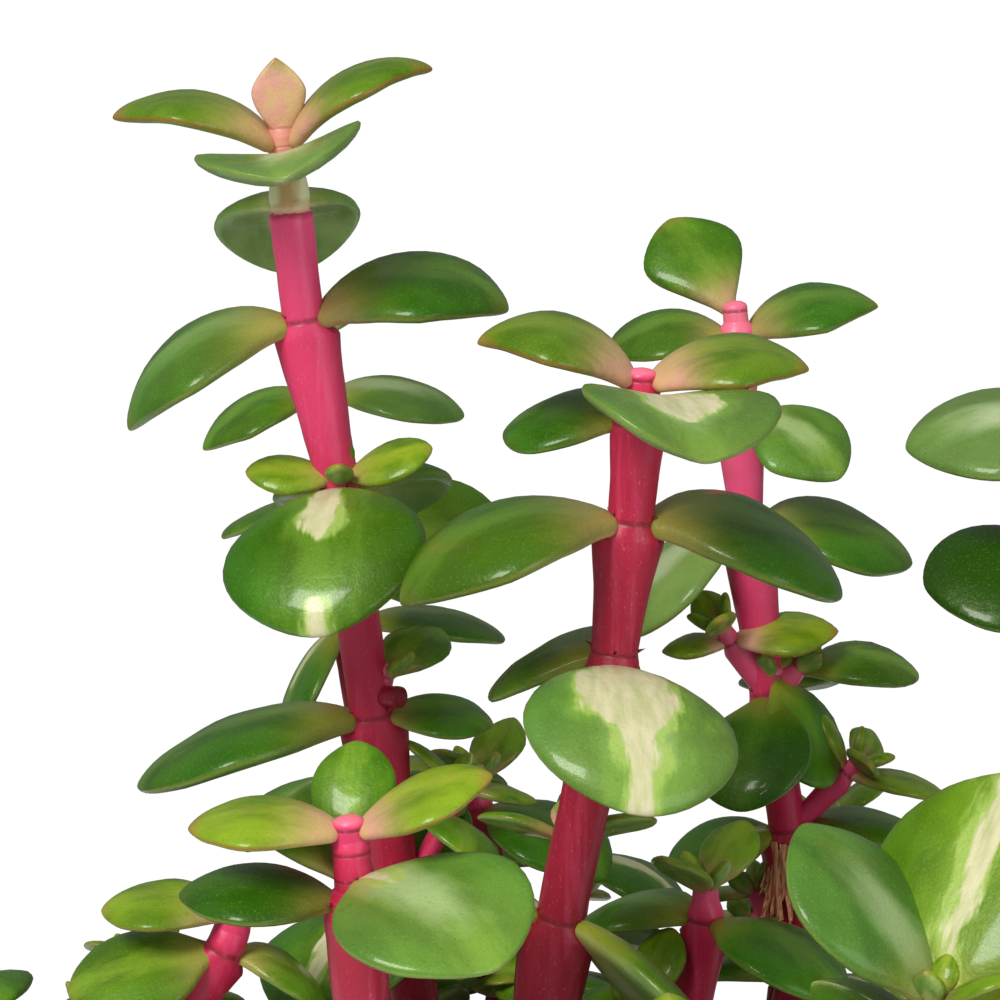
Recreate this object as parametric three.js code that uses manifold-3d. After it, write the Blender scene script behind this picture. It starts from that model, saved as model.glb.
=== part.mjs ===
import * as THREE from 'three';
import { mergeVertices } from 'three/addons/utils/BufferGeometryUtils.js';
import Module from 'manifold-3d';

// An elephant bush: a thicket of pink jointed stems with fleshy opposite leaves, standing in a
// filled clay pot. Millimetres, +Z up, origin at the centre of the pot's base. The front is -Y.

// ---- pot: a plain thrown clay pot with a collar at the rim
const POT_HEIGHT = 94;
const POT_BASE_RADIUS = 37;
const POT_SHOULDER_RADIUS = 49.5;
const COLLAR_RADIUS = 55;
const COLLAR_HEIGHT = 21;
const POT_WALL = 5;
const POT_FLOOR = 6;
const RIM_ROUND = 1.2;
const POT_SIDES = 36;
const DRAIN_RADIUS = 4;
const DRAIN_OFFSET = 19;
const DRAIN_COUNT = 3;
const DRAIN_SIDES = 12;

// ---- soil: a plug that fills the pot to just under the rim
const SOIL_TOP = 84;
const SOIL_SWELL = 1.1;
const SOIL_RINGS = [0.94, 0.72, 0.48, 0.24];
const SOIL_SIDES = 20;
const STEM_FOOT = 78;
const GAP = 0.3;

// ---- stems: swollen joints, pinched just above and flared just below each pair of leaves
const STEM_SIDES = 6;
const LOW_STEM_SIDES = 5;
const SHOOT_SIDES = 4;
const FLARE = 1.5;
const PINCH = 0.84;
const CROWDED = 0.4;
const FLARE_DROP = 1.2;
const PINCH_RISE = 0.9;
const JOINT_SHARE = 0.3;
const FULL_SWELL = 6;
const SHOOT_GIRTH = 2.1;
const SHOOT_END = 0.75;

// ---- leaves: fleshy, egg shaped, broadest past the middle
const LEAF_WIDTH = 0.88;
const YOUNG_WIDTH = 0.72;
const YOUNG_LENGTH = 9;
const LEAF_THICKNESS = 0.15;
const THINNEST_LEAF = 1.25;
const DROOP = -0.05;
const NECK = 0.24;
const FOOT_FULLNESS = 0.7;
const WIDEST = 0.56;
const LEAF_SECTION_SIDES = 4;
const LEAF_STEPS = 5;
const LOW_LEAF_STEPS = 4;
const FINE_FROM = 125;
const SHOOT_LEAF_STEPS = 3;
const ROOT_DEPTH = 0.25;
const CLEARANCE = 0.55;
const TIDY = 0.02;

// Ways a leaf may give way to its neighbours: more lift, more turn (degrees), share of its length.
const YIELDS = [
  [0, 0, 1], [12, 0, 1], [-12, 0, 1], [0, 16, 1], [0, -16, 1], [22, 0, 0.9], [-22, 0, 0.9],
  [8, 30, 0.85], [8, -30, 0.85], [34, 0, 0.8], [-30, 0, 0.75], [48, 20, 0.75], [0, 0, 0.6],
  [20, 45, 0.6], [20, -45, 0.6], [60, 0, 0.6],
];

// Stems. A joint is x, y, z, turn of its first leaf (0 = right, 90 = back), then length, lift and
// curl of the first leaf, the same of the leaf across from it, the roll of each, and how far the
// leaves' edges are cupped up as a share of their width, where they don't droop.
// A shoot is its joint, turn, rise, then rows of distance along it, turn and two leaves.
const STEMS = [
  { name: 'tall_left', thick: 4.6, thin: 3.5, joints: [
    [-2, 2, 78],
    [-4.5, 1.5, 97, 60, 17, 20, 60, 17, 20, 60],
    [-6.5, 1, 113, 150, 18, 15, 60, 18, 15, 60],
    [-9, 0.5, 130.5, 60, 18, 20, 70, 18, 20, 70],
    [-11.4, 0, 148.2, 181, 21.5, 12, 44, 10, 8, 40, -3, -10],
    [-14.1, 0, 168.4, 264, 20, 8, 70, 19, 15, 70],
    [-17, 0, 183.5, 0, 18.5, 38, 86, 18.5, 15, 78, -14, 14],
    [-18.1, 0, 193.7, 98, 15, 19, 100, 0, 0, 0],
    [-18.4, 0, 197.4, 273, 16, 5, 14, 0, 0, 0, -5, 0, 0.15],
    [-18.6, 0, 198.7, 0, 15, 60, 76, 15.3, 55, 76, -6, 6],
    [-18.7, 0, 200, 275, 6.5, 88, 5, 5, 75, 5],
  ], shoots: [
    [3, 15, 62, [[9, 285, 9.5, 15, 40, 9, 25, 30], [12, 15, 7, 30, 30, 7, 30, 30]]],
    [4, 355, 75, [[4, 60, 8.8, 45, 40, 0, 0, 0]]],
    [5, 275, 62, [[1.8, 2, 8.4, 34, 16, 7.8, 14, 20]]],
  ] },
  { name: 'centre', thick: 4.9, thin: 3.7, joints: [
    [0, -14, 78],
    [1.5, -15, 96, 30, 17, 15, 60, 17, 15, 60],
    [1.8, -16.5, 114, 110, 18, 15, 60, 18, 15, 60],
    [5, -18, 135.5, -15, 20, -20, 30, 14, 10, 60, 30, 0],
    [9.2, -18, 156.8, 276, 19.5, 12, 66, 0, 0, 0],
    [9.3, -18, 158, 128, 14.5, -4, 42, 0, 0, 0, 22],
    [10.6, -18, 169.1, 10, 19.5, 18, 68, 20, 10, 68, -12, 4],
    [11.2, -18, 177.4, 150, 12, 8, 40, 0, 0, 0, 24],
    [11.3, -18, 178.6, 283, 17.5, 16, 40, 0, 0, 0, 0, 0, 0.12],
    [11.4, -18, 180.6, 0, 13.6, 40, 64, 14.2, 54, 84, -12, 12],
  ], shoots: [
    [3, 80, 62, [[7, 350, 7.5, 30, 30, 7.5, 25, 30]]],
  ] },
  { name: 'right', thick: 4.4, thin: 3.2, joints: [
    [20, 13, 78],
    [24.5, 17, 96, 45, 16, 15, 60, 16, 15, 60],
    [30, 21, 116, 140, 16, 15, 60, 16, 15, 60],
    [28.3, 22, 131, 178, 11.5, 5, 30, 14, 15, 60, 18, 0],
    [26.1, 22, 144.8, 247, 13.5, -22, 30, 12, 15, 60],
    [23.8, 22, 161.5, 188, 16, -12, 50, 16.5, 2, 46, 8, -18],
    [22.9, 22, 172, 325, 11.5, 0, 60, 12, 15, 60, -25],
    [22.6, 22, 179.8, 0, 13.5, 40, 62, 12.5, 30, 70, -16, 16],
    [22.4, 22, 182, 126, 12.3, 52, 10, 0, 0, 0, 22],
  ], shoots: [
    [4, 200, 55, [[7, -5, 10, -14, 20, 6.5, 35, 30], [8.6, 95, 5, 50, 30, 5, 50, 30]]],
    [4, -10, 45, [[4, 0, 12, 72, 60, 0, 0, 0]]],
      [4, 300, 74, [[2.2, 318, 11.8, -36, 20, 0, 0, 0]]],
    [3, -10, 48, [[8.4, 166, 6.5, 40, 34, 9.5, 50, 35], [9.8, 80, 6, 30, 20, 6, 30, 20]]],
  ] },
  { name: 'front_left', thick: 4.8, thin: 3.6, joints: [
    [-10, -26, 78],
    [-10.5, -31, 95, 20, 16, 15, 60, 16, 15, 60],
    [-10, -36, 112, 110, 17, 15, 60, 17, 15, 60],
    [-10, -40, 129, -10, 17, 5, 40, 14, 15, 60],
    [-10.8, -42, 145, 180, 12.2, 20, 30, 0, 0, 0, 2, 0],
    [-10.8, -42, 146.6, 308, 17, 9, 35, 10, 45, 50, -12, 0, 0.04],
    [-11, -42, 148.8, 85, 9, 72, 40, 0, 0, 0],
    [-11.1, -42, 150.4, 178, 11.6, 26, 42, 11, 36, 32, 4, -8],
  ], shoots: [] },
  { name: 'behind_left', thick: 4, thin: 2.6, joints: [
    [-8, 22, 78],
    [-9, 24, 98, 30, 16, 15, 60, 16, 15, 60],
    [-11, 26, 116, 120, 16, 15, 60, 16, 15, 60],
    [-13, 29, 134, 40, 16, 15, 60, 16, 15, 60],
    [-14.6, 30, 150, 190, 14, -35, 40, 15, 6, 40],
    [-15.9, 30, 161.5, -25, 17, -8, 36, 13, 16, 50, -40],
    [-17.5, 30, 173, 2, 13.8, 5, 46, 12.8, 12, 56, -10, 12],
    [-18.4, 30, 178.7, 10, 9.4, 42, 40, 6, 30, 40],
  ], shoots: [] },
  { name: 'far_right', thick: 4.5, thin: 3.4, joints: [
    [26, -4, 78],
    [34, -6, 96, 20, 16, 15, 60, 16, 15, 60],
    [41, -8, 114, 110, 16, 15, 60, 16, 15, 60],
    [46.5, -9, 132, 10, 16, 15, 60, 12, 15, 60],
    [50, -10, 149, 90, 12, 15, 60, 13, 15, 60],
    [51.4, -10, 162.6, 183, 14.8, 12, 35, 18, 20, 60, 32, 0],
    [52, -10, 176, 175, 17.2, 5, 30, 16, 20, 60, 20],
    [52.4, -10, 184, 90, 14, 30, 50, 14, 30, 50],
    [52.5, -10, 187, 0, 7, 60, 10, 7, 60, 10],
  ], shoots: [] },
  { name: 'front_right', thick: 4.4, thin: 3.2, joints: [
    [20, -28, 78],
    [26, -34, 94, 20, 15, 15, 60, 15, 15, 60],
    [30, -38, 111, 110, 16, 15, 60, 16, 15, 60],
    [32, -39.5, 126, 30, 16, 15, 60, 16, 15, 60],
    [32.9, -40, 132.6, -30, 15, 20, 40, 10, 30, 30],
    [33, -40, 134.8, 56, 21, 62, 18, 0, 0, 0],
    [33, -40, 136.6, 146, 16.4, 56, 20, 7, 40, 20, 4],
  ], shoots: [] },
  { name: 'low_left', thick: 4.2, thin: 3, joints: [
    [-18, -12, 78],
    [-24, -15, 95, 20, 15, 15, 60, 15, 15, 60],
    [-28, -18, 112, 110, 15, 15, 60, 15, 15, 60],
    [-26.5, -20, 127, 20, 12, 15, 60, 12, 15, 60],
    [-23, -20, 133.4, 196, 12.4, -33, 10, 10, 20, 60, 14],
    [-21.8, -20, 136.4, 176, 11, 2, 46, 8, 50, 30, 8],
  ], shoots: [] },
];

// Shorter stems that fill the thicket: name, foot x, y, top x, y, z, count of joints.
const LOW_STEMS = [
  ['front_centre', 8, -35, 14, -50, 131, 4],
  ['back_centre', 6, 34, 8, 44, 121, 3],
  ['back_right', 24, 30, 35, 43, 123, 3],
  ['back_left', -26, 26, -38, 37, 109, 3],
  ['side_left', -34, 4, -53, 8, 119, 3],
  ['side_right', 37, 12, 60, 20, 128, 4],
  ['middle', 6, 4, -3, 12, 136, 3],
  ['right_centre', 14, -4, 18, -5, 131, 3],
];
const LOW_THICK = 4.2;
const LOW_THIN = 2.8;
const SEED = 48817;

const DEGREE = Math.PI / 180;
const UP = new THREE.Vector3(0, 0, 1);
const RIGHT = new THREE.Vector3(1, 0, 0);

const wasm = await Module();
wasm.setup();

let state = SEED;
function draw(low, high) {
  state = (state * 48271) % 2147483647;
  return low + ((high - low) * state) / 2147483647;
}

function solid(geometry) {
  geometry.deleteAttribute('normal');
  geometry.deleteAttribute('uv');
  const welded = mergeVertices(geometry, 1e-5);
  return new wasm.Manifold(new wasm.Mesh({
    numProp: 3,
    vertProperties: new Float32Array(welded.attributes.position.array),
    triVerts: new Uint32Array(welded.index.array),
  }));
}

function meshOf(name, body, material) {
  const got = body.getMesh();
  const geometry = new THREE.BufferGeometry();
  geometry.setAttribute('position', new THREE.BufferAttribute(got.vertProperties, 3));
  geometry.setIndex(new THREE.BufferAttribute(got.triVerts, 1));
  geometry.computeVertexNormals();
  const mesh = new THREE.Mesh(geometry, material);
  mesh.name = name;
  return mesh;
}

// Moves every vertex of a geometry to the place a rule gives it.
function reshape(geometry, rule) {
  const spots = geometry.attributes.position;
  const spot = new THREE.Vector3();
  for (let i = 0; i < spots.count; i += 1) {
    spot.fromBufferAttribute(spots, i);
    rule(spot);
    spots.setXYZ(i, spot.x, spot.y, spot.z);
  }
  return geometry;
}

function headed(turn, axis) {
  const heading = new THREE.Vector3(Math.cos(turn * DEGREE), Math.sin(turn * DEGREE), 0);
  return heading.addScaledVector(axis, -heading.dot(axis)).normalize();
}

function axisAt(points, k) {
  const axis = new THREE.Vector3();
  if (k > 0) {
    axis.add(points[k].clone().sub(points[k - 1]).normalize());
  }
  if (k < points.length - 1) {
    axis.add(points[k + 1].clone().sub(points[k]).normalize());
  }
  return axis.normalize();
}

// ---- one stem or shoot: rings of a cylinder moved to the joints
function ringsOf(points, girths, turns) {
  const rings = [];
  for (let k = 0; k < points.length; k += 1) {
    const axis = axisAt(points, k);
    const below = k > 0 ? points[k].distanceTo(points[k - 1]) : 0;
    const above = k < points.length - 1 ? points[k].distanceTo(points[k + 1]) : 0;
    const out = headed(turns[k], axis);
    if (k > 0) {
      const drop = Math.min(FLARE_DROP, below * JOINT_SHARE);
      const centre = points[k].clone().addScaledVector(axis, -drop);
      const flare = 1 + (FLARE - 1) * Math.min(below / FULL_SWELL, 1);
      rings.push({ centre, axis, out, radius: girths[k] / 2, flare });
    }
    const rise = k === points.length - 1 ? SHOOT_END : Math.min(PINCH_RISE, above * JOINT_SHARE);
    const centre = points[k].clone().addScaledVector(axis, k === 0 ? 0 : rise);
    const pinch = k === 0 ? 1 : 1 - (1 - PINCH) * Math.min(above / FULL_SWELL, 1);
    rings.push({ centre, axis, out, radius: (pinch * girths[k]) / 2, flare: 1 });
  }
  return rings;
}

function tube(rings, sides, grow) {
  const last = rings.length - 1;
  const base = new THREE.CylinderGeometry(1, 1, last, sides, last);
  return solid(reshape(base, (spot) => {
    const ring = rings[Math.round(spot.y + last / 2)];
    const first = RIGHT.clone().addScaledVector(ring.axis, -RIGHT.dot(ring.axis)).normalize();
    const second = ring.axis.clone().cross(first);
    const reach = ring.radius + grow;
    const offset = first.multiplyScalar(spot.x * reach).addScaledVector(second, -spot.z * reach);
    offset.addScaledVector(ring.out, offset.dot(ring.out) * (ring.flare - 1));
    spot.copy(ring.centre).add(offset);
  }));
}

// ---- one leaf: a sphere of few sides laid along a bent midrib
function outline(t) {
  if (t < WIDEST) {
    return NECK + (1 - NECK) * Math.sin((Math.PI / 2) * (t / WIDEST));
  }
  return (1 - ((t - WIDEST) / (1 - WIDEST)) ** 2.1) ** 0.6;
}

function fullness(t) {
  const swell = Math.sin((Math.PI / 2) * Math.min(t / 0.4, 1));
  const body = FOOT_FULLNESS + (1 - FOOT_FULLNESS) * swell;
  return body * Math.sqrt(Math.max(1 - t ** 4, 0));
}

function leafSolid(leaf, grow) {
  const base = new THREE.SphereGeometry(1, LEAF_SECTION_SIDES, leaf.steps);
  const out = headed(leaf.turn, leaf.axis);
  const side = out.clone().cross(leaf.axis);
  const lift = leaf.lift * DEGREE;
  const curl = Math.max(leaf.curl, 1) * DEGREE;
  const roll = leaf.roll * DEGREE;
  const breadth = leaf.length * (leaf.length > YOUNG_LENGTH ? LEAF_WIDTH : YOUNG_WIDTH);
  const depth = Math.max(leaf.length * LEAF_THICKNESS, THINNEST_LEAF);
  return solid(reshape(base, (spot) => {
    const t = (1 + spot.y) / 2;
    const around = Math.hypot(spot.x, spot.z);
    const across = around > 1e-6 ? spot.x / around : 0;
    const through = around > 1e-6 ? spot.z / around : 0;
    const bend = lift - curl * t;
    const reach = leaf.length + (t > 0.5 ? grow : 0);
    const along = (reach * (Math.sin(lift) - Math.sin(bend))) / curl;
    const rise = (reach * (Math.cos(bend) - Math.cos(lift))) / curl;
    const face = out.clone().multiplyScalar(-Math.sin(bend)).addScaledVector(leaf.axis, Math.cos(bend));
    const edge = side.clone().multiplyScalar(Math.cos(roll)).addScaledVector(face, Math.sin(roll));
    const normal = face.multiplyScalar(Math.cos(roll)).addScaledVector(side, -Math.sin(roll));
    const wide = across * ((outline(t) * breadth) / 2 + grow);
    const cup = leaf.cup * breadth * outline(t) * across * across;
    const deep = through * ((fullness(t) * depth) / 2 + grow) + (around > 1e-6 ? cup : 0);
    spot.copy(leaf.root).addScaledVector(out, along).addScaledVector(leaf.axis, rise);
    spot.addScaledVector(edge, wide).addScaledVector(normal, deep);
  }));
}

// ---- the plan of a stem: its tubes and the leaves they carry
function addLeaf(leaves, joint, axis, girth, turn, [length, lift, curl], roll, cup, steps) {
  if (length > 0) {
    const root = joint.clone().addScaledVector(headed(turn, axis), girth * ROOT_DEPTH);
    leaves.push({ root, axis, turn, length, lift, curl, roll, cup, steps });
  }
}

function planShoot(joint, turn, rise, rows, parentGirth) {
  const level = Math.cos(rise * DEGREE);
  const aim = new THREE.Vector3(
    Math.cos(turn * DEGREE) * level,
    Math.sin(turn * DEGREE) * level,
    Math.sin(rise * DEGREE),
  );
  const points = [joint.clone()];
  const girths = [Math.min(SHOOT_GIRTH, parentGirth * 0.8)];
  const turns = [turn];
  const leaves = [];
  rows.forEach((row) => {
    const spot = joint.clone().addScaledVector(aim, row[0]);
    const girth = girths[0] * (1 - 0.02 * row[0]);
    points.push(spot);
    girths.push(girth);
    turns.push(row[1]);
  });
  rows.forEach((row, k) => {
    const axis = axisAt(points, k + 1);
    const girth = girths[k + 1];
    const spot = points[k + 1];
    addLeaf(leaves, spot, axis, girth, row[1], row.slice(2, 5), 0, DROOP, SHOOT_LEAF_STEPS);
    addLeaf(leaves, spot, axis, girth, row[1] + 180, row.slice(5, 8), 0, DROOP, SHOOT_LEAF_STEPS);
  });
  return { points, girths, turns, leaves };
}

function planStem(stem) {
  const points = stem.joints.map(([x, y, z]) => new THREE.Vector3(x, y, z));
  const last = points.length - 1;
  const girths = points.map((point, k) => {
    const beside = [points[k - 1], points[k + 1]].filter((other) => other);
    const spare = Math.max(...beside.map((other) => other.distanceTo(point)));
    const room = Math.min(spare / FULL_SWELL, 1);
    return (stem.thick + ((stem.thin - stem.thick) * k) / last) * (1 - CROWDED * (1 - room));
  });
  const turns = stem.joints.map((row) => row[3] ?? 0);
  const leaves = [];
  for (let k = 1; k <= last; k += 1) {
    const row = stem.joints[k];
    const axis = axisAt(points, k);
    const steps = stem.sides === STEM_SIDES && row[2] > FINE_FROM ? LEAF_STEPS : LOW_LEAF_STEPS;
    const cup = row[12] ?? DROOP;
    const [first, second] = [row.slice(4, 7), row.slice(7, 10)];
    addLeaf(leaves, points[k], axis, girths[k], row[3], first, row[10] ?? 0, cup, steps);
    addLeaf(leaves, points[k], axis, girths[k], row[3] + 180, second, row[11] ?? 0, cup, steps);
  }
  const shoots = stem.shoots.map(([k, turn, rise, rows]) => (
    planShoot(points[k], turn, rise, rows, girths[k])
  ));
  return { name: stem.name, sides: stem.sides, points, girths, turns, leaves, shoots };
}

// A low stem leans evenly from foot to top; its pairs of leaves stand a quarter turn apart.
function lowStem([name, footX, footY, topX, topY, topZ, count]) {
  const joints = [[footX, footY, STEM_FOOT]];
  const quarter = draw(0, 90);
  for (let k = 1; k <= count; k += 1) {
    const share = k / count;
    const x = footX + (topX - footX) * share + draw(-0.8, 0.8);
    const y = footY + (topY - footY) * share + draw(-0.8, 0.8);
    const z = STEM_FOOT + (topZ - STEM_FOOT) * share ** 0.85;
    const length = 17 - 3 * share;
    joints.push([
      x, y, z, quarter + 90 * k + draw(-12, 12),
      length + draw(-1.5, 1.5), 12 + draw(-10, 14), 50 + draw(-15, 20),
      length + draw(-1.5, 1.5), 12 + draw(-10, 14), 50 + draw(-15, 20),
      draw(-8, 8), draw(-8, 8),
    ]);
  }
  const top = joints[count];
  joints.push([top[0], top[1], top[2] + 3, top[3] + 90, 8, 50, 30, 8, 50, 30]);
  return { name, sides: LOW_STEM_SIDES, thick: LOW_THICK, thin: LOW_THIN, joints, shoots: [] };
}

// Side shoots from the leaf corners of the low joints: each has two pairs of small leaves.
function addSideShoots(stem, from, to) {
  for (let k = from; k <= to; k += 1) {
    const side = draw(0, 1) < 0.5 ? 0 : 180;
    const turn = stem.joints[k][3] + side + draw(-10, 10);
    const rise = draw(38, 60);
    const reach = draw(8, 11);
    const small = draw(8.5, 11);
    stem.shoots.push([k, turn, rise, [
      [reach * 0.6, turn + 90, small, 20, 45, small, 20, 45],
      [reach, turn, small * 0.7, 35, 30, small * 0.7, 35, 30],
    ]]);
  }
}

// ---- placing: tubes first, then each leaf in the first way that leaves its neighbours clear
function yielded(leaf, lift, turn, share) {
  return { ...leaf, lift: leaf.lift + lift, turn: leaf.turn + turn, length: leaf.length * share };
}

function meets(body, others) {
  return others.some((other) => !body.intersect(other).isEmpty());
}

function grow(plans, fixed) {
  const bodies = plans.map((plan) => [tube(ringsOf(plan.points, plan.girths, plan.turns), plan.sides, 0)]);
  const neighbours = (own) => [...fixed, ...bodies.filter((list, k) => k !== own).flat()];
  plans.forEach((plan, own) => {
    plan.shoots.forEach((shoot) => {
      const rings = ringsOf(shoot.points, shoot.girths, shoot.turns);
      if (!meets(tube(rings, SHOOT_SIDES, CLEARANCE), neighbours(own))) {
        bodies[own].push(tube(rings, SHOOT_SIDES, 0));
        plan.leaves.push(...shoot.leaves);
      }
    });
  });
  plans.forEach((plan, own) => {
    plan.leaves.forEach((leaf) => {
      const others = neighbours(own);
      const way = YIELDS.find(([lift, turn, share]) => (
        !meets(leafSolid(yielded(leaf, lift, turn, share), CLEARANCE), others)
      ));
      if (way) {
        bodies[own].push(leafSolid(yielded(leaf, ...way), 0));
      }
    });
  });
  return bodies.map((list) => list.reduce((whole, body) => whole.add(body)).simplify(TIDY));
}

// ---- pot and soil
function turned(profile, sides) {
  const outlinePoints = profile.map(([radius, z]) => new THREE.Vector2(radius, z));
  return new THREE.LatheGeometry(outlinePoints, sides).rotateX(Math.PI / 2);
}

function innerRadius(z) {
  const slope = (COLLAR_RADIUS - POT_WALL - (POT_BASE_RADIUS - POT_WALL)) / (POT_HEIGHT - POT_FLOOR);
  return POT_BASE_RADIUS - POT_WALL + slope * (z - POT_FLOOR);
}

function makePot() {
  const collarFoot = POT_HEIGHT - COLLAR_HEIGHT;
  let pot = solid(turned([
    [0, 0],
    [POT_BASE_RADIUS - RIM_ROUND, 0],
    [POT_BASE_RADIUS, RIM_ROUND],
    [POT_SHOULDER_RADIUS, collarFoot - RIM_ROUND],
    [COLLAR_RADIUS - RIM_ROUND, collarFoot],
    [COLLAR_RADIUS - RIM_ROUND / 2, collarFoot + RIM_ROUND],
    [COLLAR_RADIUS + RIM_ROUND / 2, POT_HEIGHT - RIM_ROUND],
    [COLLAR_RADIUS - RIM_ROUND / 2, POT_HEIGHT],
    [innerRadius(POT_HEIGHT) + RIM_ROUND / 2, POT_HEIGHT],
    [innerRadius(POT_HEIGHT - RIM_ROUND), POT_HEIGHT - RIM_ROUND],
    [innerRadius(POT_FLOOR), POT_FLOOR],
    [0, POT_FLOOR],
  ], POT_SIDES));
  for (let k = 0; k < DRAIN_COUNT; k += 1) {
    const turn = (k * 2 * Math.PI) / DRAIN_COUNT;
    const hole = new THREE.CylinderGeometry(DRAIN_RADIUS, DRAIN_RADIUS, POT_FLOOR * 3, DRAIN_SIDES);
    hole.rotateX(Math.PI / 2).translate(DRAIN_OFFSET * Math.cos(turn), DRAIN_OFFSET * Math.sin(turn), 0);
    pot = pot.subtract(solid(hole));
  }
  return pot;
}

function makeSoil(plans) {
  const floor = POT_FLOOR + GAP;
  const edge = innerRadius(SOIL_TOP) - GAP;
  const plug = turned([
    [0, floor],
    [innerRadius(floor) - GAP, floor],
    [edge, SOIL_TOP],
    ...SOIL_RINGS.map((share) => [edge * share, SOIL_TOP + 0.4]),
    [0, SOIL_TOP + 0.6],
  ], SOIL_SIDES);
  reshape(plug, (spot) => {
    if (spot.z > SOIL_TOP + 0.1) {
      spot.z += SOIL_SWELL * Math.sin(spot.x * 0.31 + 1) * Math.cos(spot.y * 0.27 - 0.6);
    }
  });
  return plans.reduce((soil, plan) => {
    const rings = ringsOf(plan.points, plan.girths, plan.turns).slice(0, 2);
    rings[0].centre.z -= GAP;
    return soil.subtract(tube(rings, plan.sides, GAP));
  }, solid(plug));
}

// ---- the whole plant
STEMS.forEach((stem) => {
  stem.sides = STEM_SIDES;
  addSideShoots(stem, 2, 2);
});
const lowStems = LOW_STEMS.map((row) => {
  const stem = lowStem(row);
  addSideShoots(stem, 2, 2);
  return stem;
});
const plans = [...STEMS, ...lowStems].map(planStem);

const clay = new THREE.MeshStandardMaterial({ name: 'clay', color: 0xb5673f, roughness: 0.85 });
const earth = new THREE.MeshStandardMaterial({ name: 'soil', color: 0x35261b, roughness: 0.95 });
const leafGreen = new THREE.MeshStandardMaterial({ name: 'leaf', color: 0x4d7d26, roughness: 0.4 });

const pot = makePot();
const soil = makeSoil(plans);
const group = new THREE.Group();
group.name = 'elephant_bush';
group.add(meshOf('pot', pot, clay));
group.add(meshOf('soil', soil, earth));
grow(plans, [pot, soil]).forEach((body, k) => {
  group.add(meshOf(plans[k].name, body, leafGreen));
});

export default group;
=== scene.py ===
import bpy
import math
import random
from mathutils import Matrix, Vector, kdtree, noise


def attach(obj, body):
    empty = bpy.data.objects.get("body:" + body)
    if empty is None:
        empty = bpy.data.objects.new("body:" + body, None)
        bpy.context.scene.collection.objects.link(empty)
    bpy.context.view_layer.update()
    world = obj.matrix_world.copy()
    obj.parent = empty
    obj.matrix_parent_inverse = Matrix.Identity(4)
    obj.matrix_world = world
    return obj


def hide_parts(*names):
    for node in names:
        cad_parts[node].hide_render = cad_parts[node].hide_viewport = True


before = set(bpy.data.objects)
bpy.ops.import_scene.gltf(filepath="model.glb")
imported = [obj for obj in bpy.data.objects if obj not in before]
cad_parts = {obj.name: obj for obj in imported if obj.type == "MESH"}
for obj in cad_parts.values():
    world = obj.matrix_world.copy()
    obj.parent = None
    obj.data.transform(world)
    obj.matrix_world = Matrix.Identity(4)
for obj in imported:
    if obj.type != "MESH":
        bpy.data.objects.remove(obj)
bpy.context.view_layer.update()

# An elephant bush in a clay pot, put together from the pot up. Sizes in the sections are
# millimetres; MM turns them into Blender's metres. The front of the plant is -Y.
MM = 0.001


# ---- the pot -------------------------------------------------------------------------
# A plain flower pot of unglazed red clay, thrown in one piece on a wheel: a tapered wall, a
# collar that stands out round the rim, a flat foot and three drain holes in the floor.
POT_HEIGHT = 94
POT_FOOT = 37
POT_SHOULDER = 49.5
COLLAR = 55
COLLAR_HEIGHT = 21
POT_WALL = 5
POT_FLOOR = 6
RIM_ROUND = 1.2
POT_SIDES = 144
EDGE_ROUND = 1.6
EASE_STEPS = 4
STATION_STEP = 3
HAND_WANDER = 0.22
TURNING_MARKS = 0.06
DRAIN_COUNT = 3
DRAIN_RADIUS = 4
DRAIN_OFFSET = 19
DRAIN_SIDES = 32


def dye(code):
    """A display colour such as #b5673f as the linear colour that the shaders take."""
    parts = [int(code[k:k + 2], 16) / 255 for k in (1, 3, 5)]
    return tuple(p / 12.92 if p < 0.04045 else ((p + 0.055) / 1.055) ** 2.4 for p in parts) + (1,)


class Wire:
    """One socket of a node tree, so that a surface or a shape can be written as sums."""

    def __init__(self, socket):
        self.socket = socket
        self.tree = socket.id_data

    def sum(self, operation, first, second=0.0):
        return wired(self.tree, "ShaderNodeMath", {"operation": operation}, {0: first, 1: second})

    def __add__(self, other):
        return self.sum("ADD", self, other)

    def __radd__(self, other):
        return self.sum("ADD", other, self)

    def __sub__(self, other):
        return self.sum("SUBTRACT", self, other)

    def __rsub__(self, other):
        return self.sum("SUBTRACT", other, self)

    def __mul__(self, other):
        return self.sum("MULTIPLY", self, other)

    def __rmul__(self, other):
        return self.sum("MULTIPLY", other, self)

    def __truediv__(self, other):
        return self.sum("DIVIDE", self, other)

    def __rtruediv__(self, other):
        return self.sum("DIVIDE", other, self)

    def __pow__(self, other):
        return self.sum("POWER", self, other)

    def __abs__(self):
        return self.sum("ABSOLUTE", self)

    def __gt__(self, other):
        return self.sum("GREATER_THAN", self, other)

    def __lt__(self, other):
        return self.sum("LESS_THAN", self, other)

    def sin(self):
        return self.sum("SINE", self)

    def cos(self):
        return self.sum("COSINE", self)

    def at_most(self, other):
        return self.sum("MINIMUM", self, other)

    def at_least(self, other):
        return self.sum("MAXIMUM", self, other)

    def ramp(self, low, high):
        """0 below low, 1 above high, and an even curve between them."""
        return wired(self.tree, "ShaderNodeMapRange", {"interpolation_type": "SMOOTHSTEP"},
                     {0: self, 1: low, 2: high, 3: 0.0, 4: 1.0})


def wired(tree, kind, settings, inputs, out=0):
    """One node of that kind: its settings first, then a value or a wire for each socket."""
    node = tree.nodes.new(kind)
    for name, value in settings.items():
        if name == "stops":
            while len(node.color_ramp.elements) < len(value):
                node.color_ramp.elements.new(0.5)
            for element, (place, colour) in zip(node.color_ramp.elements, value):
                element.position = place
                element.color = colour
        else:
            setattr(node, name, value)
    for key, value in inputs.items():
        if isinstance(value, Wire):
            tree.links.new(value.socket, node.inputs[key])
        else:
            node.inputs[key].default_value = value
    return Wire(node.outputs[out]) if node.outputs else None


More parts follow.
